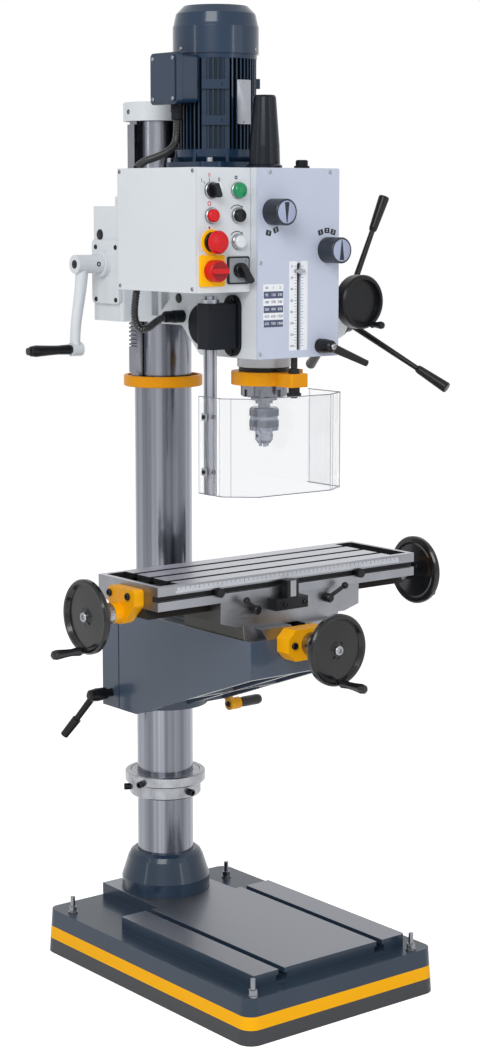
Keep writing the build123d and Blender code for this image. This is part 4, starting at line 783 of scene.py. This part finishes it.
@dataclass
class Stand:
    """Base, column and rings; screws are at radius, angle and height, and the wiper is a ring's section."""

    column: Flat = (0, 225)
    collar_screws: Sequence[Point] = ((69, 150, 316), (69, 275, 316), (78, 199, 336))
    wiper: Sequence[float] = (55.4, 68, 7, 0.6, 0.6)
    wiper_low: float = 342.6
    cap_plug: Point = (72, 175, 1627)

    def build(self) -> None:
        """Paints the stand, adds its screws and closes the lower collar round the knee's rack."""
        paint(BASE_ENAMEL, "base")
        paint(SLATE, "column_foot")
        paint(COLUMN, "column")
        paint(TURNED, "lower_collar")
        paint(STEEL, "levelling_studs", "head_rack", "knee_rack")
        paint(WHITE, "column_cap")
        paint(YELLOW, "head_rack_ring")
        Shape().cap_screws(6.5, 13, *round_seats(self.column, *self.collar_screws)).piece(
            "collar_screws", DARK_STEEL, "stand", "dark_steel")
        Shape().lathe(UP.at(*self.column, self.wiper_low), *ring(*self.wiper), steps=64).piece(
            "rack_wiper_ring", TURNED, "knee_rack", "ground_steel")
        Shape().cap_screws(4.5, 2, *round_seats(self.column, self.cap_plug)).piece(
            "cap_screw", DARK_STEEL, "stand", "dark_steel")


@dataclass
class Head:
    """Head casting with its lift gearcase and plugs."""

    plugs: Sequence[tuple[float, Point]] = ((10, (-118, 263, 1399)), (9, (-93, 48, 1286.5)))
    lid: Grid = ((-124,), (204, 269), (1278, 1376))
    side_screws: Sequence[Point] = ((-100, -121, 1290), (-100, -114, 1198))
    clamp: Flat = (32, 325)
    clamp_rows: Flat = (1290, 1420)
    crank_hub: Point = (-190, 243, 1345)
    crank_screw: Point = (-147, 226.1, 1345)

    def build(self) -> None:
        """Paints the casting and adds its plugs and screws."""
        paint(WHITE, "head_casting", "control_box", "control_cover")
        paint(CRANK_WHITE, "head_crank")
        paint(CHARCOAL, "conduit_glands", "spring_cover", "guard_bracket")
        paint(COVER, "drawbar_cover")
        paint(BLACK, "head_crank_grip")
        plugs = Shape()
        for r, place in self.plugs:
            plugs.lathe(LEFT.at(*place), (r, 0), (r, 1), (r - 1, 1.8), (r - 4, 2.2), (0, 2.2))
        plugs.piece("casting_plugs", BLACK, "head", "black_plastic")
        screws = Shape().cap_screws(4.6, 1.6, *LEFT.grid(*self.lid))
        screws.cap_screws(6, 2.5, *(LEFT.at(*place) for place in self.side_screws))
        x, y = self.clamp
        for z in self.clamp_rows:
            screws.cap_screws(8, 10, RIGHT.at(x, y, z), LEFT.at(-x, y, z))
        screws.piece("head_screws", DARK_STEEL, "head", "dark_steel")
        hub = Shape().lathe(LEFT.at(*self.crank_hub), (8, 0), (8, 0.8), (6.5, 1.2), (0, 1.2))
        hub.cap_screws(4.5, 1.2, FRONT.at(*self.crank_screw))
        hub.piece("lift_crank_screws", DARK_STEEL, "head_crank", "dark_steel")


@dataclass
class FlatFront:
    """A sub-assembly with a flat front."""

    face: float

    def at(self, x: float, z: float, out: float = 0.0, turn: float = 0.0) -> Matrix:
        """Makes a seat on the front, or so far out from it, turned by so many degrees."""
        return FRONT.at(x, self.face - out, z, turn)


@dataclass
class FrontPanel(FlatFront):
    """Front panel with its knobs, scale, chart and screws."""

    face: float = -182
    film: float = 0.25
    ink: float = 0.1
    screws: Sequence[Flat] = ((-66, 1512), (70.5, 1512), (-87, 1355), (87, 1355), (-88, 1196), (88, 1196))
    knobs: Sequence[Mark] = (("speed_left", -60, 1443, 180), ("speed_right", 66, 1375.5, 0))
    knob_face: float = -221
    knob_disc: Flat = (19.6, 0.7)
    lock_pivot: Point = (50, -219, 1206)
    blocks: Sequence[Mark] = (
        ("1", -69, 1406.8, -14), ("2", -52.6, 1411.9, 22), ("1", 49.9, 1406.8, 16), ("2", 64.5, 1410, 0),
        ("3", 78.9, 1407, -16))
    chart: tuple[float, float, float, float] = (-81, -35, 1243, 1318)
    speeds: Sequence[Sequence[str]] = (
        ("50", "1", "2"), ("95", "120", "240"), ("180", "270", "540"), ("260", "400", "820"),
        ("410", "610", "1220"), ("620", "930", "1860"))
    column_pitch: float = 15
    scale_films: Sequence[Flat] = ((-13.3, 17.4), (12.4, 15.4))
    scale_span: Flat = (1200, 1357)
    scale_low: float = 1208
    scale_step: int = 5
    scale_marks: int = 29

    def build(self) -> None:
        """Paints the panel and adds what is printed and screwed on it."""
        paint(PANEL, "head_panel")
        paint(KNOB, "speed_knob_left", "speed_knob_right")
        paint(BLACK, "quill_lock_lever")
        seats = [self.at(x, z) for x, z in self.screws]
        Shape().cap_screws(3.4, 1.4, *seats, steps=SMALL_SIDES).piece(
            "panel_screws", BRIGHT, "head", "chrome")
        self._knob_faces()
        self._index_blocks()
        self._chart()
        self._scale()
        Shape().cap_screws(5.5, 2.5, FRONT.at(*self.lock_pivot)).piece(
            "quill_lock_screw", BRIGHT, "quill_lock", "chrome")

    def _knob_faces(self) -> None:
        """Adds each knob's pale disc and its wedge pointer, turned from upright."""
        r, thick = self.knob_disc
        wedge = [(-5.2, -17), (5.2, -17), (0.8, 18), (-0.8, 18)]
        for body, x, z, turn in self.knobs:
            disc = Shape().lathe(FRONT.at(x, self.knob_face, z), (r, 0), (r, thick - 0.2), (r - 0.4, thick),
                                 (0, thick), steps=40)
            disc.piece(body + "_disc", KNOB_FACE, body, "panel_paint")
            Shape().prism(FRONT.at(x, self.knob_face - thick, z, turn), wedge, self.film).piece(
                body + "_pointer", INK, body, "black_plastic")

    def _index_blocks(self) -> None:
        """Adds the numbered blocks that the knobs point at."""
        blocks, figures = Shape(), Shape()
        for figure, x, z, tilt in self.blocks:
            blocks.slab(self.at(x, z, turn=tilt), 11.5, 9.5, self.film, 1.2)
            figures.lettering(self.at(x, z, self.film, tilt), figure, 5.5, 0.15)
        blocks.piece("index_blocks", INK, "head", "black_plastic")
        figures.piece("index_figures", PAPER, "head", "white_plastic")

    def _chart(self) -> None:
        """Adds the speed chart: a pale film with dark rows and plain numbers."""
        x0, x1, z0, z1 = self.chart
        middle, step = (x0 + x1) / 2, (z1 - z0) / len(self.speeds)
        film, rows, dark, pale = Shape(), Shape(), Shape(), Shape()
        film.slab(self.at(middle, (z0 + z1) / 2), x1 - x0, z1 - z0, self.film, 1.0)
        for i, row in enumerate(self.speeds):
            z = z1 - step * (i + 0.5)
            if i % 2:
                rows.slab(self.at(middle, z, self.film), x1 - x0 - 2, step, self.ink)
            for k, figure in enumerate(row):
                seat = self.at(middle + (k - 1) * self.column_pitch, z, self.film + self.ink)
                (pale if i % 2 else dark).lettering(seat, figure, 4.6, 0.12)
        film.piece("speed_chart", PAPER, "head", "white_plastic")
        rows.piece("speed_chart_rows", ROW_INK, "head", "black_plastic")
        dark.piece("speed_chart_figures", INK, "head", "black_plastic")
        pale.piece("speed_chart_row_figures", PAPER, "head", "white_plastic")

    def _scale(self) -> None:
        """Adds the depth scale on both sides of the pointer's slot."""
        film, marks = Shape(), Shape()
        low, high = self.scale_span
        for x, width in self.scale_films:
            film.slab(self.at(x, (low + high) / 2), width, high - low, self.film, 1.0)
        for i in range(self.scale_marks):
            z = self.scale_low + self.scale_step * i
            length = 5.0 if i % 2 == 0 else 3.0
            for side in (-1, 1):
                marks.slab(self.at(side * (5.6 + length / 2), z, self.film), length, 0.7, self.ink)
            if i % 4 == 0:
                depth = self.scale_step * (self.scale_marks - 1 - i)
                marks.lettering(self.at(-16.2, z, self.film), str(depth), 4.2, 0.12)
        film.piece("depth_scale", PAPER, "head", "white_plastic")
        marks.piece("depth_scale_marks", INK, "head", "black_plastic")


@dataclass
class ControlStation(FlatFront):
    """Bezels, plates and printing of the control box."""

    face: float = -163
    left: float = -180
    right: float = -122
    rows: tuple[float, float, float, float] = (1480, 1437, 1392, 1343)
    cover_x: float = -214.5
    cover_screws: Sequence[Flat] = ((-156, 1513), (-154, 1312), (60, 1513), (60, 1312))
    selector_face: float = -185.4
    switch_face: float = -187.3
    neck: float = 9.4
    lens: float = 13.6
    black_plate: float = 3.2
    grey_plate: float = 0.7
    ink: float = 0.2

    def build(self) -> None:
        """Paints the controls and makes their fixed fittings and marks."""
        paint(BLACK, "selector", "start_button", "changeover_switch")
        paint(RED, "stop_button", "main_switch")
        paint(RED_ON_NECK, "estop_button")
        paint(PALE, "white_button")
        self._fittings()
        self._marks()
        seats = [LEFT.at(self.cover_x, y, z) for y, z in self.cover_screws]
        Shape().cap_screws(3.6, 1.4, *seats, steps=SMALL_SIDES).piece(
            "cover_screws", STEEL, "head", "dark_steel")
        Shape().slab(FRONT.at(self.left + 3, self.selector_face, self.rows[0] + 8, 20), 2.2, 9, 0.3).piece(
            "selector_mark", PAPER, "selector", "white_plastic")
        # A flat disc of that darker red stands for the painted shade of the recess behind the grip.
        switch = FRONT.at(self.left, self.switch_face, self.rows[3])
        Shape().lathe(switch, (16.4, 0), (16.4, 0.3), (0, 0.3)).piece(
            "main_switch_recess_shade", SHADED_RED, "main", "red_plastic")

    def _fittings(self) -> None:
        """Makes the bezels, the lamp, the emergency stop's ring and both switch plates."""
        left, right = self.left, self.right
        first, second, third, fourth = self.rows
        bezels = Shape().lathe(self.at(left, first), *ring(13.4, 15, 5.6, 0.9, 1.0))
        for x, z in ((left, second), (right, second), (right, third)):
            bezels.lathe(self.at(x, z), *ring(11.3, 14, 5.6, 0.9, 1.0))
        bezels.lathe(self.at(right, first), *ring(self.lens, 15, 4.2, 0.8, 0.8))
        bezels.piece("button_bezels", BRIGHT, "head", "fittings", ["control_fittings"])
        lamp = Shape().lathe(self.at(right, first), (self.lens, 0), (self.lens, 6), (12.9, 10), (9, 13.8),
                             (4, 15.2), (0, 15.5))
        lamp.piece("pilot_lamp", GREEN, "head", "fittings")
        yellow = Shape().lathe(self.at(left, third), *ring(self.neck, 22, 3, 1.0, 0.6), steps=40)
        yellow.slab(self.at(left, fourth), 54, 54, 4, 4, 0.8)
        yellow.piece("yellow_plates", SIGNAL, "head", "fittings")
        black = Shape().lathe(self.at(left, third, 3), *ring(self.neck, 17.5, 5, 1.0, 0.8))
        black.slab(self.at(right, fourth), 48, 48, self.black_plate, 4, 0.6)
        black.piece("black_plates", BLACK, "head", "fittings")
        Shape().slab(self.at(right, fourth, self.black_plate), 42, 42, self.grey_plate, 3, 0.2).piece(
            "changeover_plate", GREY, "head", "fittings")

    def _marks(self) -> None:
        """Prints the plain marks round the controls."""
        raised, ink = self.black_plate + self.grey_plate, self.ink
        red, dark = Shape(), Shape()
        red.lettering(self.at(-184, 1505.6), "0", 7, ink)
        red.lathe(self.at(-184, 1457.5), *ring(2.6, 4, ink))
        red.lathe(self.at(-184, 1416.5), (2.2, 0), (2.2, ink), (0, ink), steps=SMALL_SIDES)
        red.lettering(self.at(-138, 1359, raised), "1", 4.6, ink)
        dark.lettering(self.at(-107, 1359, raised), "2", 4.6, ink)
        dark.lettering(self.at(-201, 1496.5), "I", 7, ink)
        dark.lettering(self.at(-163, 1498), "II", 7, ink)
        dark.slab(self.at(-184, 1498), 0.9, 6, ink)
        dark.slab(self.at(-195, 1493, turn=40), 0.9, 6, ink)
        dark.lathe(self.at(-126, 1502), *ring(1.4, 3.2, ink), steps=20)
        for z in self.rows[1:3]:
            seat = self.at(self.right - 2, z)
            dark.prism(seat, arc(17.2, 18.6, 52, 140), ink)
            dark.prism(seat, [(9.5, 14.2), (13.2, 13.2), (11.4, 17)], ink)
        red.piece("red_marks", RED_INK, "head", "red_plastic")
        dark.piece("dark_marks", INK, "head", "black_plastic")


@dataclass
class Motor:
    """Motor with its cowl, terminal box and plate; screws round it are at radius, angle and height."""

    cowl_screws: Sequence[Point] = ((78.2, 59, 1733), (78.2, 179, 1733), (78.2, -61, 1733))
    lug_screws: Sequence[Point] = ((77, -118, 1605.5), (77, -118, 1669.4), (82, -23, 1674))
    lid: Grid = ((-122,), (25, 85), (1643, 1714))
    flange: Grid = ((-60, 60), (-3, 117), (1532,))
    plate: Point = (6.5, -17, 1638.5)
    plate_size: Point = (31, 79, 1.2)
    rivet_rows: Flat = (1603, 1674)

    def build(self) -> None:
        """Paints the motor and adds its small fittings."""
        paint(FIN_ENAMEL, "motor_frame")
        paint(MOTOR_ENAMEL, "fan_cover", "terminal_box")
        paint(BLACK, "motor_fan")
        screws = Shape().cap_screws(3.6, 1.6, *round_seats(MOTOR_AXIS, *self.cowl_screws), steps=SMALL_SIDES)
        screws.cap_screws(3.6, 1.4, *LEFT.grid(*self.lid), steps=SMALL_SIDES)
        screws.cap_screws(6, 8, *UP.grid(*self.flange))
        screws.piece("motor_screws", BRIGHT, "head", "dark_steel")
        lugs = round_seats(MOTOR_AXIS, *self.lug_screws)
        Shape().cap_screws(4, 1.2, *lugs, steps=SMALL_SIDES).piece(
            "lug_screws", DARK_STEEL, "head", "dark_steel")
        Shape().slab(FRONT.at(*self.plate), *self.plate_size, 2, 0.3).piece(
            "blank_plate", ALUMINIUM, "head", "aluminium")
        x, y, _ = self.plate
        rivets = Shape()
        for seat in FRONT.grid((x,), (y - self.plate_size[2],), self.rivet_rows):
            rivets.lathe(seat, (1.8, 0), (1.6, 0.6), (0.8, 1), (0, 1.1), steps=12)
        rivets.piece("plate_rivets", BRIGHT, "head", "chrome")


@dataclass
class Quill:
    """Quill, clamp, depth rod, spindle and chuck."""

    axis: Flat = (0, -85)
    bands: Flat = (1056.5, 1076.5)
    key_holes: Sequence[Point] = ((15.7, 60, 1040), (15.7, 180, 1040), (15.7, 300, 1040))
    bumper: Sequence[float] = (40.2, 46, 7, 1, 0.8)
    bumper_low: float = 1158.2
    clamp_screw: Point = (65, -103, 1147)

    def build(self) -> None:
        """Paints the quill group and adds the knurling, the bumper and small screws."""
        paint(STEEL, "quill", "spindle")
        paint(POINTED_ROD, "depth_rod")
        paint(YELLOW, "quill_clamp")
        paint(CHROME, "drill_chuck")
        bands, hole_shades = Shape(), Shape()
        for low in self.bands:
            bands.knurl(UP.at(*self.axis, low), 26.75, 12, 60, 0.45)
        bands.piece("chuck_knurling", KNURLED, "spindle", "chrome")
        # Flat dark discs on the chuck's side stand for the painted shade inside its key holes.
        for seat in round_seats(self.axis, *self.key_holes):
            hole_shades.lathe(seat, (3.4, 0.35), (3.4, 0.4), (0, 0.4), steps=SMALL_SIDES)
        hole_shades.piece("chuck_key_hole_shades", DARK_STEEL, "spindle", "dark_steel")
        Shape().lathe(UP.at(*self.axis, self.bumper_low), *ring(*self.bumper), steps=48).piece(
            "quill_bumper", BLACK, "quill", "black_plastic")
        Shape().cap_screws(6, 8, FRONT.at(*self.clamp_screw)).piece(
            "quill_clamp_screw", DARK_STEEL, "quill", "dark_steel")


@dataclass
class Feed:
    """Quill feed levers and the fine feed wheel."""

    hub: Point = (259.8, -31, 1242)

    def build(self) -> None:
        """Paints the feed and adds its hub screw."""
        paint(BLACK, "feed_shaft", "fine_wheel", "feed_levers")
        Shape().cap_screws(6, 2, RIGHT.at(*self.hub)).piece(
            "feed_hub_screw", DARK_STEEL, "feed", "dark_steel")


@dataclass
class Guard:
    """Grooved post and bent clear screen."""

    post: Flat = (-140, -107)
    clips: Flat = (986.5, 1084.5)
    clip: Point = (15, 14, 1.4)
    reach: Flat = (13.1, 9)
    low: float = 947
    tall: float = 173
    edge_r: float = 0.6
    sharp: float = 40
    fold_r: float = 0.45
    folds: Sequence[Flat] = ((-153, -90), (-153, -151), (-141.3, -167.8), (56.5, -204.9), (63.4, -203.2),
                             (101, -179.6), (105, -173), (104, -90))

    def build(self) -> None:
        """Paints the guard, draws painted reflection lines along the screen's edges and folds and adds the
        clips that hold it.
        """
        paint(ALUMINIUM, "guard_post")
        paint(POLYCARBONATE, "guard_screen")
        edges, r, top = Shape(), self.fold_r, self.tall
        edges.rim("guard_screen", self.edge_r, self.sharp)
        # Beads along the folds stand for the painted reflection of light on the sheet's bends.
        for fold in self.folds:
            edges.lathe(UP.at(*fold, self.low), (0, 0), (r, 0), (r, top), (0, top), steps=Shape.BEAD_SIDES)
        edges.piece("screen_edge_and_fold_lines", SAWN_EDGE_AND_FOLD_LINES, "guard", "clear_sheet")
        (x, y), (left, front) = self.post, self.reach
        clips, screws = Shape(), Shape()
        for z in self.clips:
            clips.slab(LEFT.at(x - left, y, z), *self.clip, 2, 0.3)
            seats = LEFT.at(x - left - self.clip[2], y, z), FRONT.at(x, y - front, z)
            screws.cap_screws(4, 2.6, *seats, steps=SMALL_SIDES)
        clips.piece("screen_clips", ALUMINIUM, "guard", "aluminium")
        screws.piece("screen_screws", DARK_STEEL, "guard", "dark_steel")


@dataclass
class Table:
    """Knee, saddle, table and their handwheels."""

    front: float = -166
    rule: Point = (523, 10, 0.4)
    rule_z: float = 794
    rule_marks: int = 53
    rule_pitch: float = 10
    dogs: Flat = (-169, 160)
    dog_z: float = 780
    stop_face: float = -189
    ends: Sequence[Point] = ((320, -105, 781), (320, -50, 781))
    bracket_face: float = -219
    crank_screw: Point = (132, 190.4, 467)
    axis: Flat = (-76, 749)
    wheel_x: float = 392
    dial_x: float = 338.3
    cross: Point = (0, -296, 675)
    cross_dial: Point = (0, -219.3, 675)
    dial: Flat = (18.5, 12)
    wide_dial: Flat = (21, 18)
    dial_marks: int = 40

    def build(self) -> None:
        """Paints the table group and adds its fittings."""
        paint(LIT_KNEE_ENAMEL, "knee")
        paint(LIT_BRACKET_YELLOW, "cross_bracket", "table_brackets")
        paint(CRANK_ENAMEL, "knee_crank")
        paint(BLACK, "knee_clamp_lever", "table_lock_left", "table_lock_right")
        paint(STEEL, "cross_screw", "table_screw")
        paint(WHEEL, "cross_wheel", "table_wheels")
        paint(IRON, "saddle")
        paint(TABLE_IRON, "table")
        paint(DARK_STEEL, "stop_block")
        self._ruler()
        self._stops()
        self._screws()
        self._wheels()

    def _ruler(self) -> None:
        """Adds the rule along the table's front edge, with a mark each centimetre."""
        marks, (_, wide, thick) = Shape(), self.rule
        for i in range(self.rule_marks):
            tall = 6.0 if i % 5 == 0 else 4.0
            x = self.rule_pitch * (i - self.rule_marks // 2)
            marks.slab(FRONT.at(x, self.front - thick, self.rule_z + (wide - tall) / 2), 0.8, tall, 0.1)
        Shape().slab(FRONT.at(0, self.front, self.rule_z), *self.rule).piece(
            "table_rule", RULE, "table", "aluminium")
        marks.piece("table_rule_marks", INK, "table", "black_plastic")

    def _stops(self) -> None:
        """Adds the travel dogs, and the pointer and screws of the stop block."""
        dogs = Shape()
        for x in self.dogs:
            dogs.knurl(FRONT.at(x, self.front + 1, self.dog_z), 8.5, 11, 24, 0.6)
            dogs.slab(FRONT.at(x, self.front + 7.5, self.dog_z), 15, 9, 8)
        dogs.piece("travel_dogs", BLACK, "table", "black_plastic")
        Shape().slab(FRONT.at(-16, self.stop_face, 773.5), 13, 29, 0.8, 0.8).piece(
            "stop_pointer", BRIGHT, "saddle", "chrome")
        Shape().cap_screws(5, 3, *FRONT.grid((-33, 12.5), (self.stop_face,), (746,))).piece(
            "stop_block_screws", DARK_STEEL, "saddle", "dark_steel")

    def _screws(self) -> None:
        """Adds the cap screws of the end brackets, the cross bracket and the knee's crank."""
        ends = Shape()
        for x, y, z in self.ends:
            ends.cap_screws(6.5, 4, LEFT.at(-x, y, z), RIGHT.at(x, y, z))
        ends.piece("end_bracket_screws", DARK_STEEL, "table", "dark_steel")
        Shape().cap_screws(6.5, 4, *FRONT.grid((-37, 37), (self.bracket_face,), (self.cross[2],))).piece(
            "cross_bracket_screws", DARK_STEEL, "knee", "dark_steel")
        Shape().cap_screws(6, 2.5, LEFT.at(*self.crank_screw)).piece(
            "knee_crank_screw", DARK_STEEL, "knee_crank", "dark_steel")

    def _wheels(self) -> None:
        """Adds the bright nuts and graduated dials of the three wheels."""
        sides = ((LEFT, -1), (RIGHT, 1))
        table = [(side.at(sign * self.wheel_x, *self.axis), side.at(sign * self.dial_x, *self.axis),
                  *self.dial) for side, sign in sides]
        cross = [(FRONT.at(*self.cross), FRONT.at(*self.cross_dial), *self.wide_dial)]
        for body, wheels in (("table_feed", table), ("cross_feed", cross)):
            nuts, dials, marks = Shape(), Shape(), Shape()
            for nut, dial, r, width in wheels:
                nuts.cap_screws(9, 4, nut)
                dials.lathe(dial, (r, 0.4), (r + 0.5, 0.8), (r + 0.5, width - 0.8), (r, width - 0.4),
                            steps=64)
                for i in range(self.dial_marks):
                    turn = Matrix.Rotation(math.tau * i / self.dial_marks, 4, "Z")
                    length = width * (0.5 if i % 5 == 0 else 0.3)
                    seat = dial @ turn @ RIGHT.at(r + 0.5, 0, width - 1 - length / 2)
                    marks.slab(seat, 0.5, length, 0.15)
            nuts.piece(body + "_nuts", BRIGHT, body, "chrome")
            dials.piece(body + "_dials", BRIGHT, body, "chrome")
            marks.piece(body + "_dial_marks", INK, body, "black_plastic")


@dataclass
class Studio:
    """Floor, lamps, white surround and the photograph's camera; lengths are metres."""

    ambient: float = 0.48
    veil: float = 0.66
    floor_half: float = 12.0
    floor_drop: float = 0.0002
    sensor: float = 36.0
    lens: float = 72.87
    camera: Point = (-2.4286, -3.0934, 1.4626)
    tilt: float = 81.30
    swing: float = -38.264
    aim: Point = (0.0, 0.0, 0.95)
    lamps: Sequence[tuple[str, float, Point, Flat]] = (
        ("key", 112.0, (-3.1, -2.5, 3.4), (2.2, 2.2)), ("fill", 12.0, (1.6, -3.9, 1.9), (2.4, 2.4)),
        ("left_strip", 8.0, (-4.2, 0.4, 1.9), (0.25, 2.0)),
        ("right_strip", 8.0, (0.7, -4.2, 1.9), (0.25, 2.0)))

    def build(self) -> None:
        """Makes the studio round the object."""
        bpy.context.scene.view_settings.view_transform = "Standard"
        self._camera()
        self._world()
        self._floor()
        for lamp in self.lamps:
            self._lamp(*lamp)

    def _camera(self) -> None:
        """Sets the photograph's camera."""
        lens = bpy.data.cameras.new("photo_camera")
        lens.sensor_fit, lens.sensor_height, lens.lens = "VERTICAL", self.sensor, self.lens
        lens.dof.use_dof = False
        camera = add_object("photo_camera", lens)
        camera.location = self.camera
        camera.rotation_euler = (math.radians(self.tilt), 0.0, math.radians(self.swing))
        bpy.context.scene.camera = camera

    def _world(self) -> None:
        """Makes the surround: soft light, seen as plain white."""
        world = bpy.data.worlds.new("studio")
        world.use_nodes = True
        bpy.context.scene.world = world
        tree = world.node_tree
        tree.nodes.clear()
        strength = add_node(tree, "MapRange", {
            "Value": self._seen(tree), "To Min": self.ambient, "To Max": 1.0})
        surround = add_node(tree, "Background", {0: (1.0, 1.0, 1.0, 1.0), 1: strength.outputs[0]})
        add_node(tree, "OutputWorld", {"Surface": surround.outputs[0]})

    @staticmethod
    def _seen(tree: Tree) -> Socket:
        """Tells the rays that look at the surround from those that only light the object.

        Args:
            tree: node tree to add to.

        Returns:
            Socket that is 1 for camera, glossy and transmission rays.
        """
        path = add_node(tree, "LightPath")
        seen = path.outputs["Is Camera Ray"]
        for name in ("Is Glossy Ray", "Is Transmission Ray"):
            either = add_node(tree, "Math", {0: seen, 1: path.outputs[name]}, operation="MAXIMUM")
            seen = either.outputs[0]
        return seen

    def _floor(self) -> None:
        """Lays the pale floor, which looks lighter than the light on it makes it."""
        own = bmesh.new()
        bmesh.ops.create_grid(own, x_segments=1, y_segments=1, size=self.floor_half)
        bmesh.ops.translate(own, vec=(0, 0, -self.floor_drop), verts=own.verts)
        mesh = bpy.data.meshes.new("floor")
        own.to_mesh(mesh)
        own.free()
        paper = STUDIO_PAPER.material()
        tree = paper.node_tree
        veil = add_node(tree, "Math", {0: self._seen(tree), 1: self.veil}, operation="MULTIPLY")
        shader = next(node for node in tree.nodes if node.type == "BSDF_PRINCIPLED")
        tree.links.new(veil.outputs[0], shader.inputs["Emission Strength"])
        mesh.materials.append(paper)
        floor = add_object("floor", mesh)

    def _lamp(self, name: str, power: float, place: Point, size: Flat) -> None:
        """Adds a soft box that looks at the object's middle.

        Args:
            name: name of the lamp.
            power: watts.
            place: where it stands.
            size: width and height.
        """
        light = bpy.data.lights.new(name, "AREA")
        light.shape, light.energy = "RECTANGLE", power
        light.size, light.size_y = size
        lamp = add_object(name, light)
        lamp.location = place
        lamp.rotation_euler = (Vector(self.aim) - Vector(place)).to_track_quat("-Z", "Y").to_euler()


MOTOR_HOSE = Conduit("motor_hose", "motor_conduit", (
    (-0.094, 0.050, 1.606), (-0.094, 0.050, 1.586), (-0.098, 0.050, 1.562), (-0.120, 0.046, 1.548),
    (-0.150, 0.042, 1.538), (-0.180, 0.039, 1.531), (-0.194, 0.038, 1.519)))
FEED_HOSE = Conduit("feed_hose", "feed_conduit", (
    (-0.194, 0.038, 1.305), (-0.199, 0.038, 1.282), (-0.200, 0.038, 1.252), (-0.190, 0.038, 1.233),
    (-0.170, 0.038, 1.234), (-0.150, 0.038, 1.248), (-0.133, 0.038, 1.254)))


def main() -> None:
    """Builds the studio, the conduits and each sub-assembly."""
    logging.basicConfig(level=logging.INFO, format="%(name)s: %(message)s")
    for part in (Studio(), MOTOR_HOSE, FEED_HOSE, Stand(), Head(), FrontPanel(), ControlStation(), Motor(),
                 Quill(), Feed(), Guard(), Table()):
        LOG.info("building %s", type(part).__name__)
        part.build()


if __name__ == "__main__":
    main()
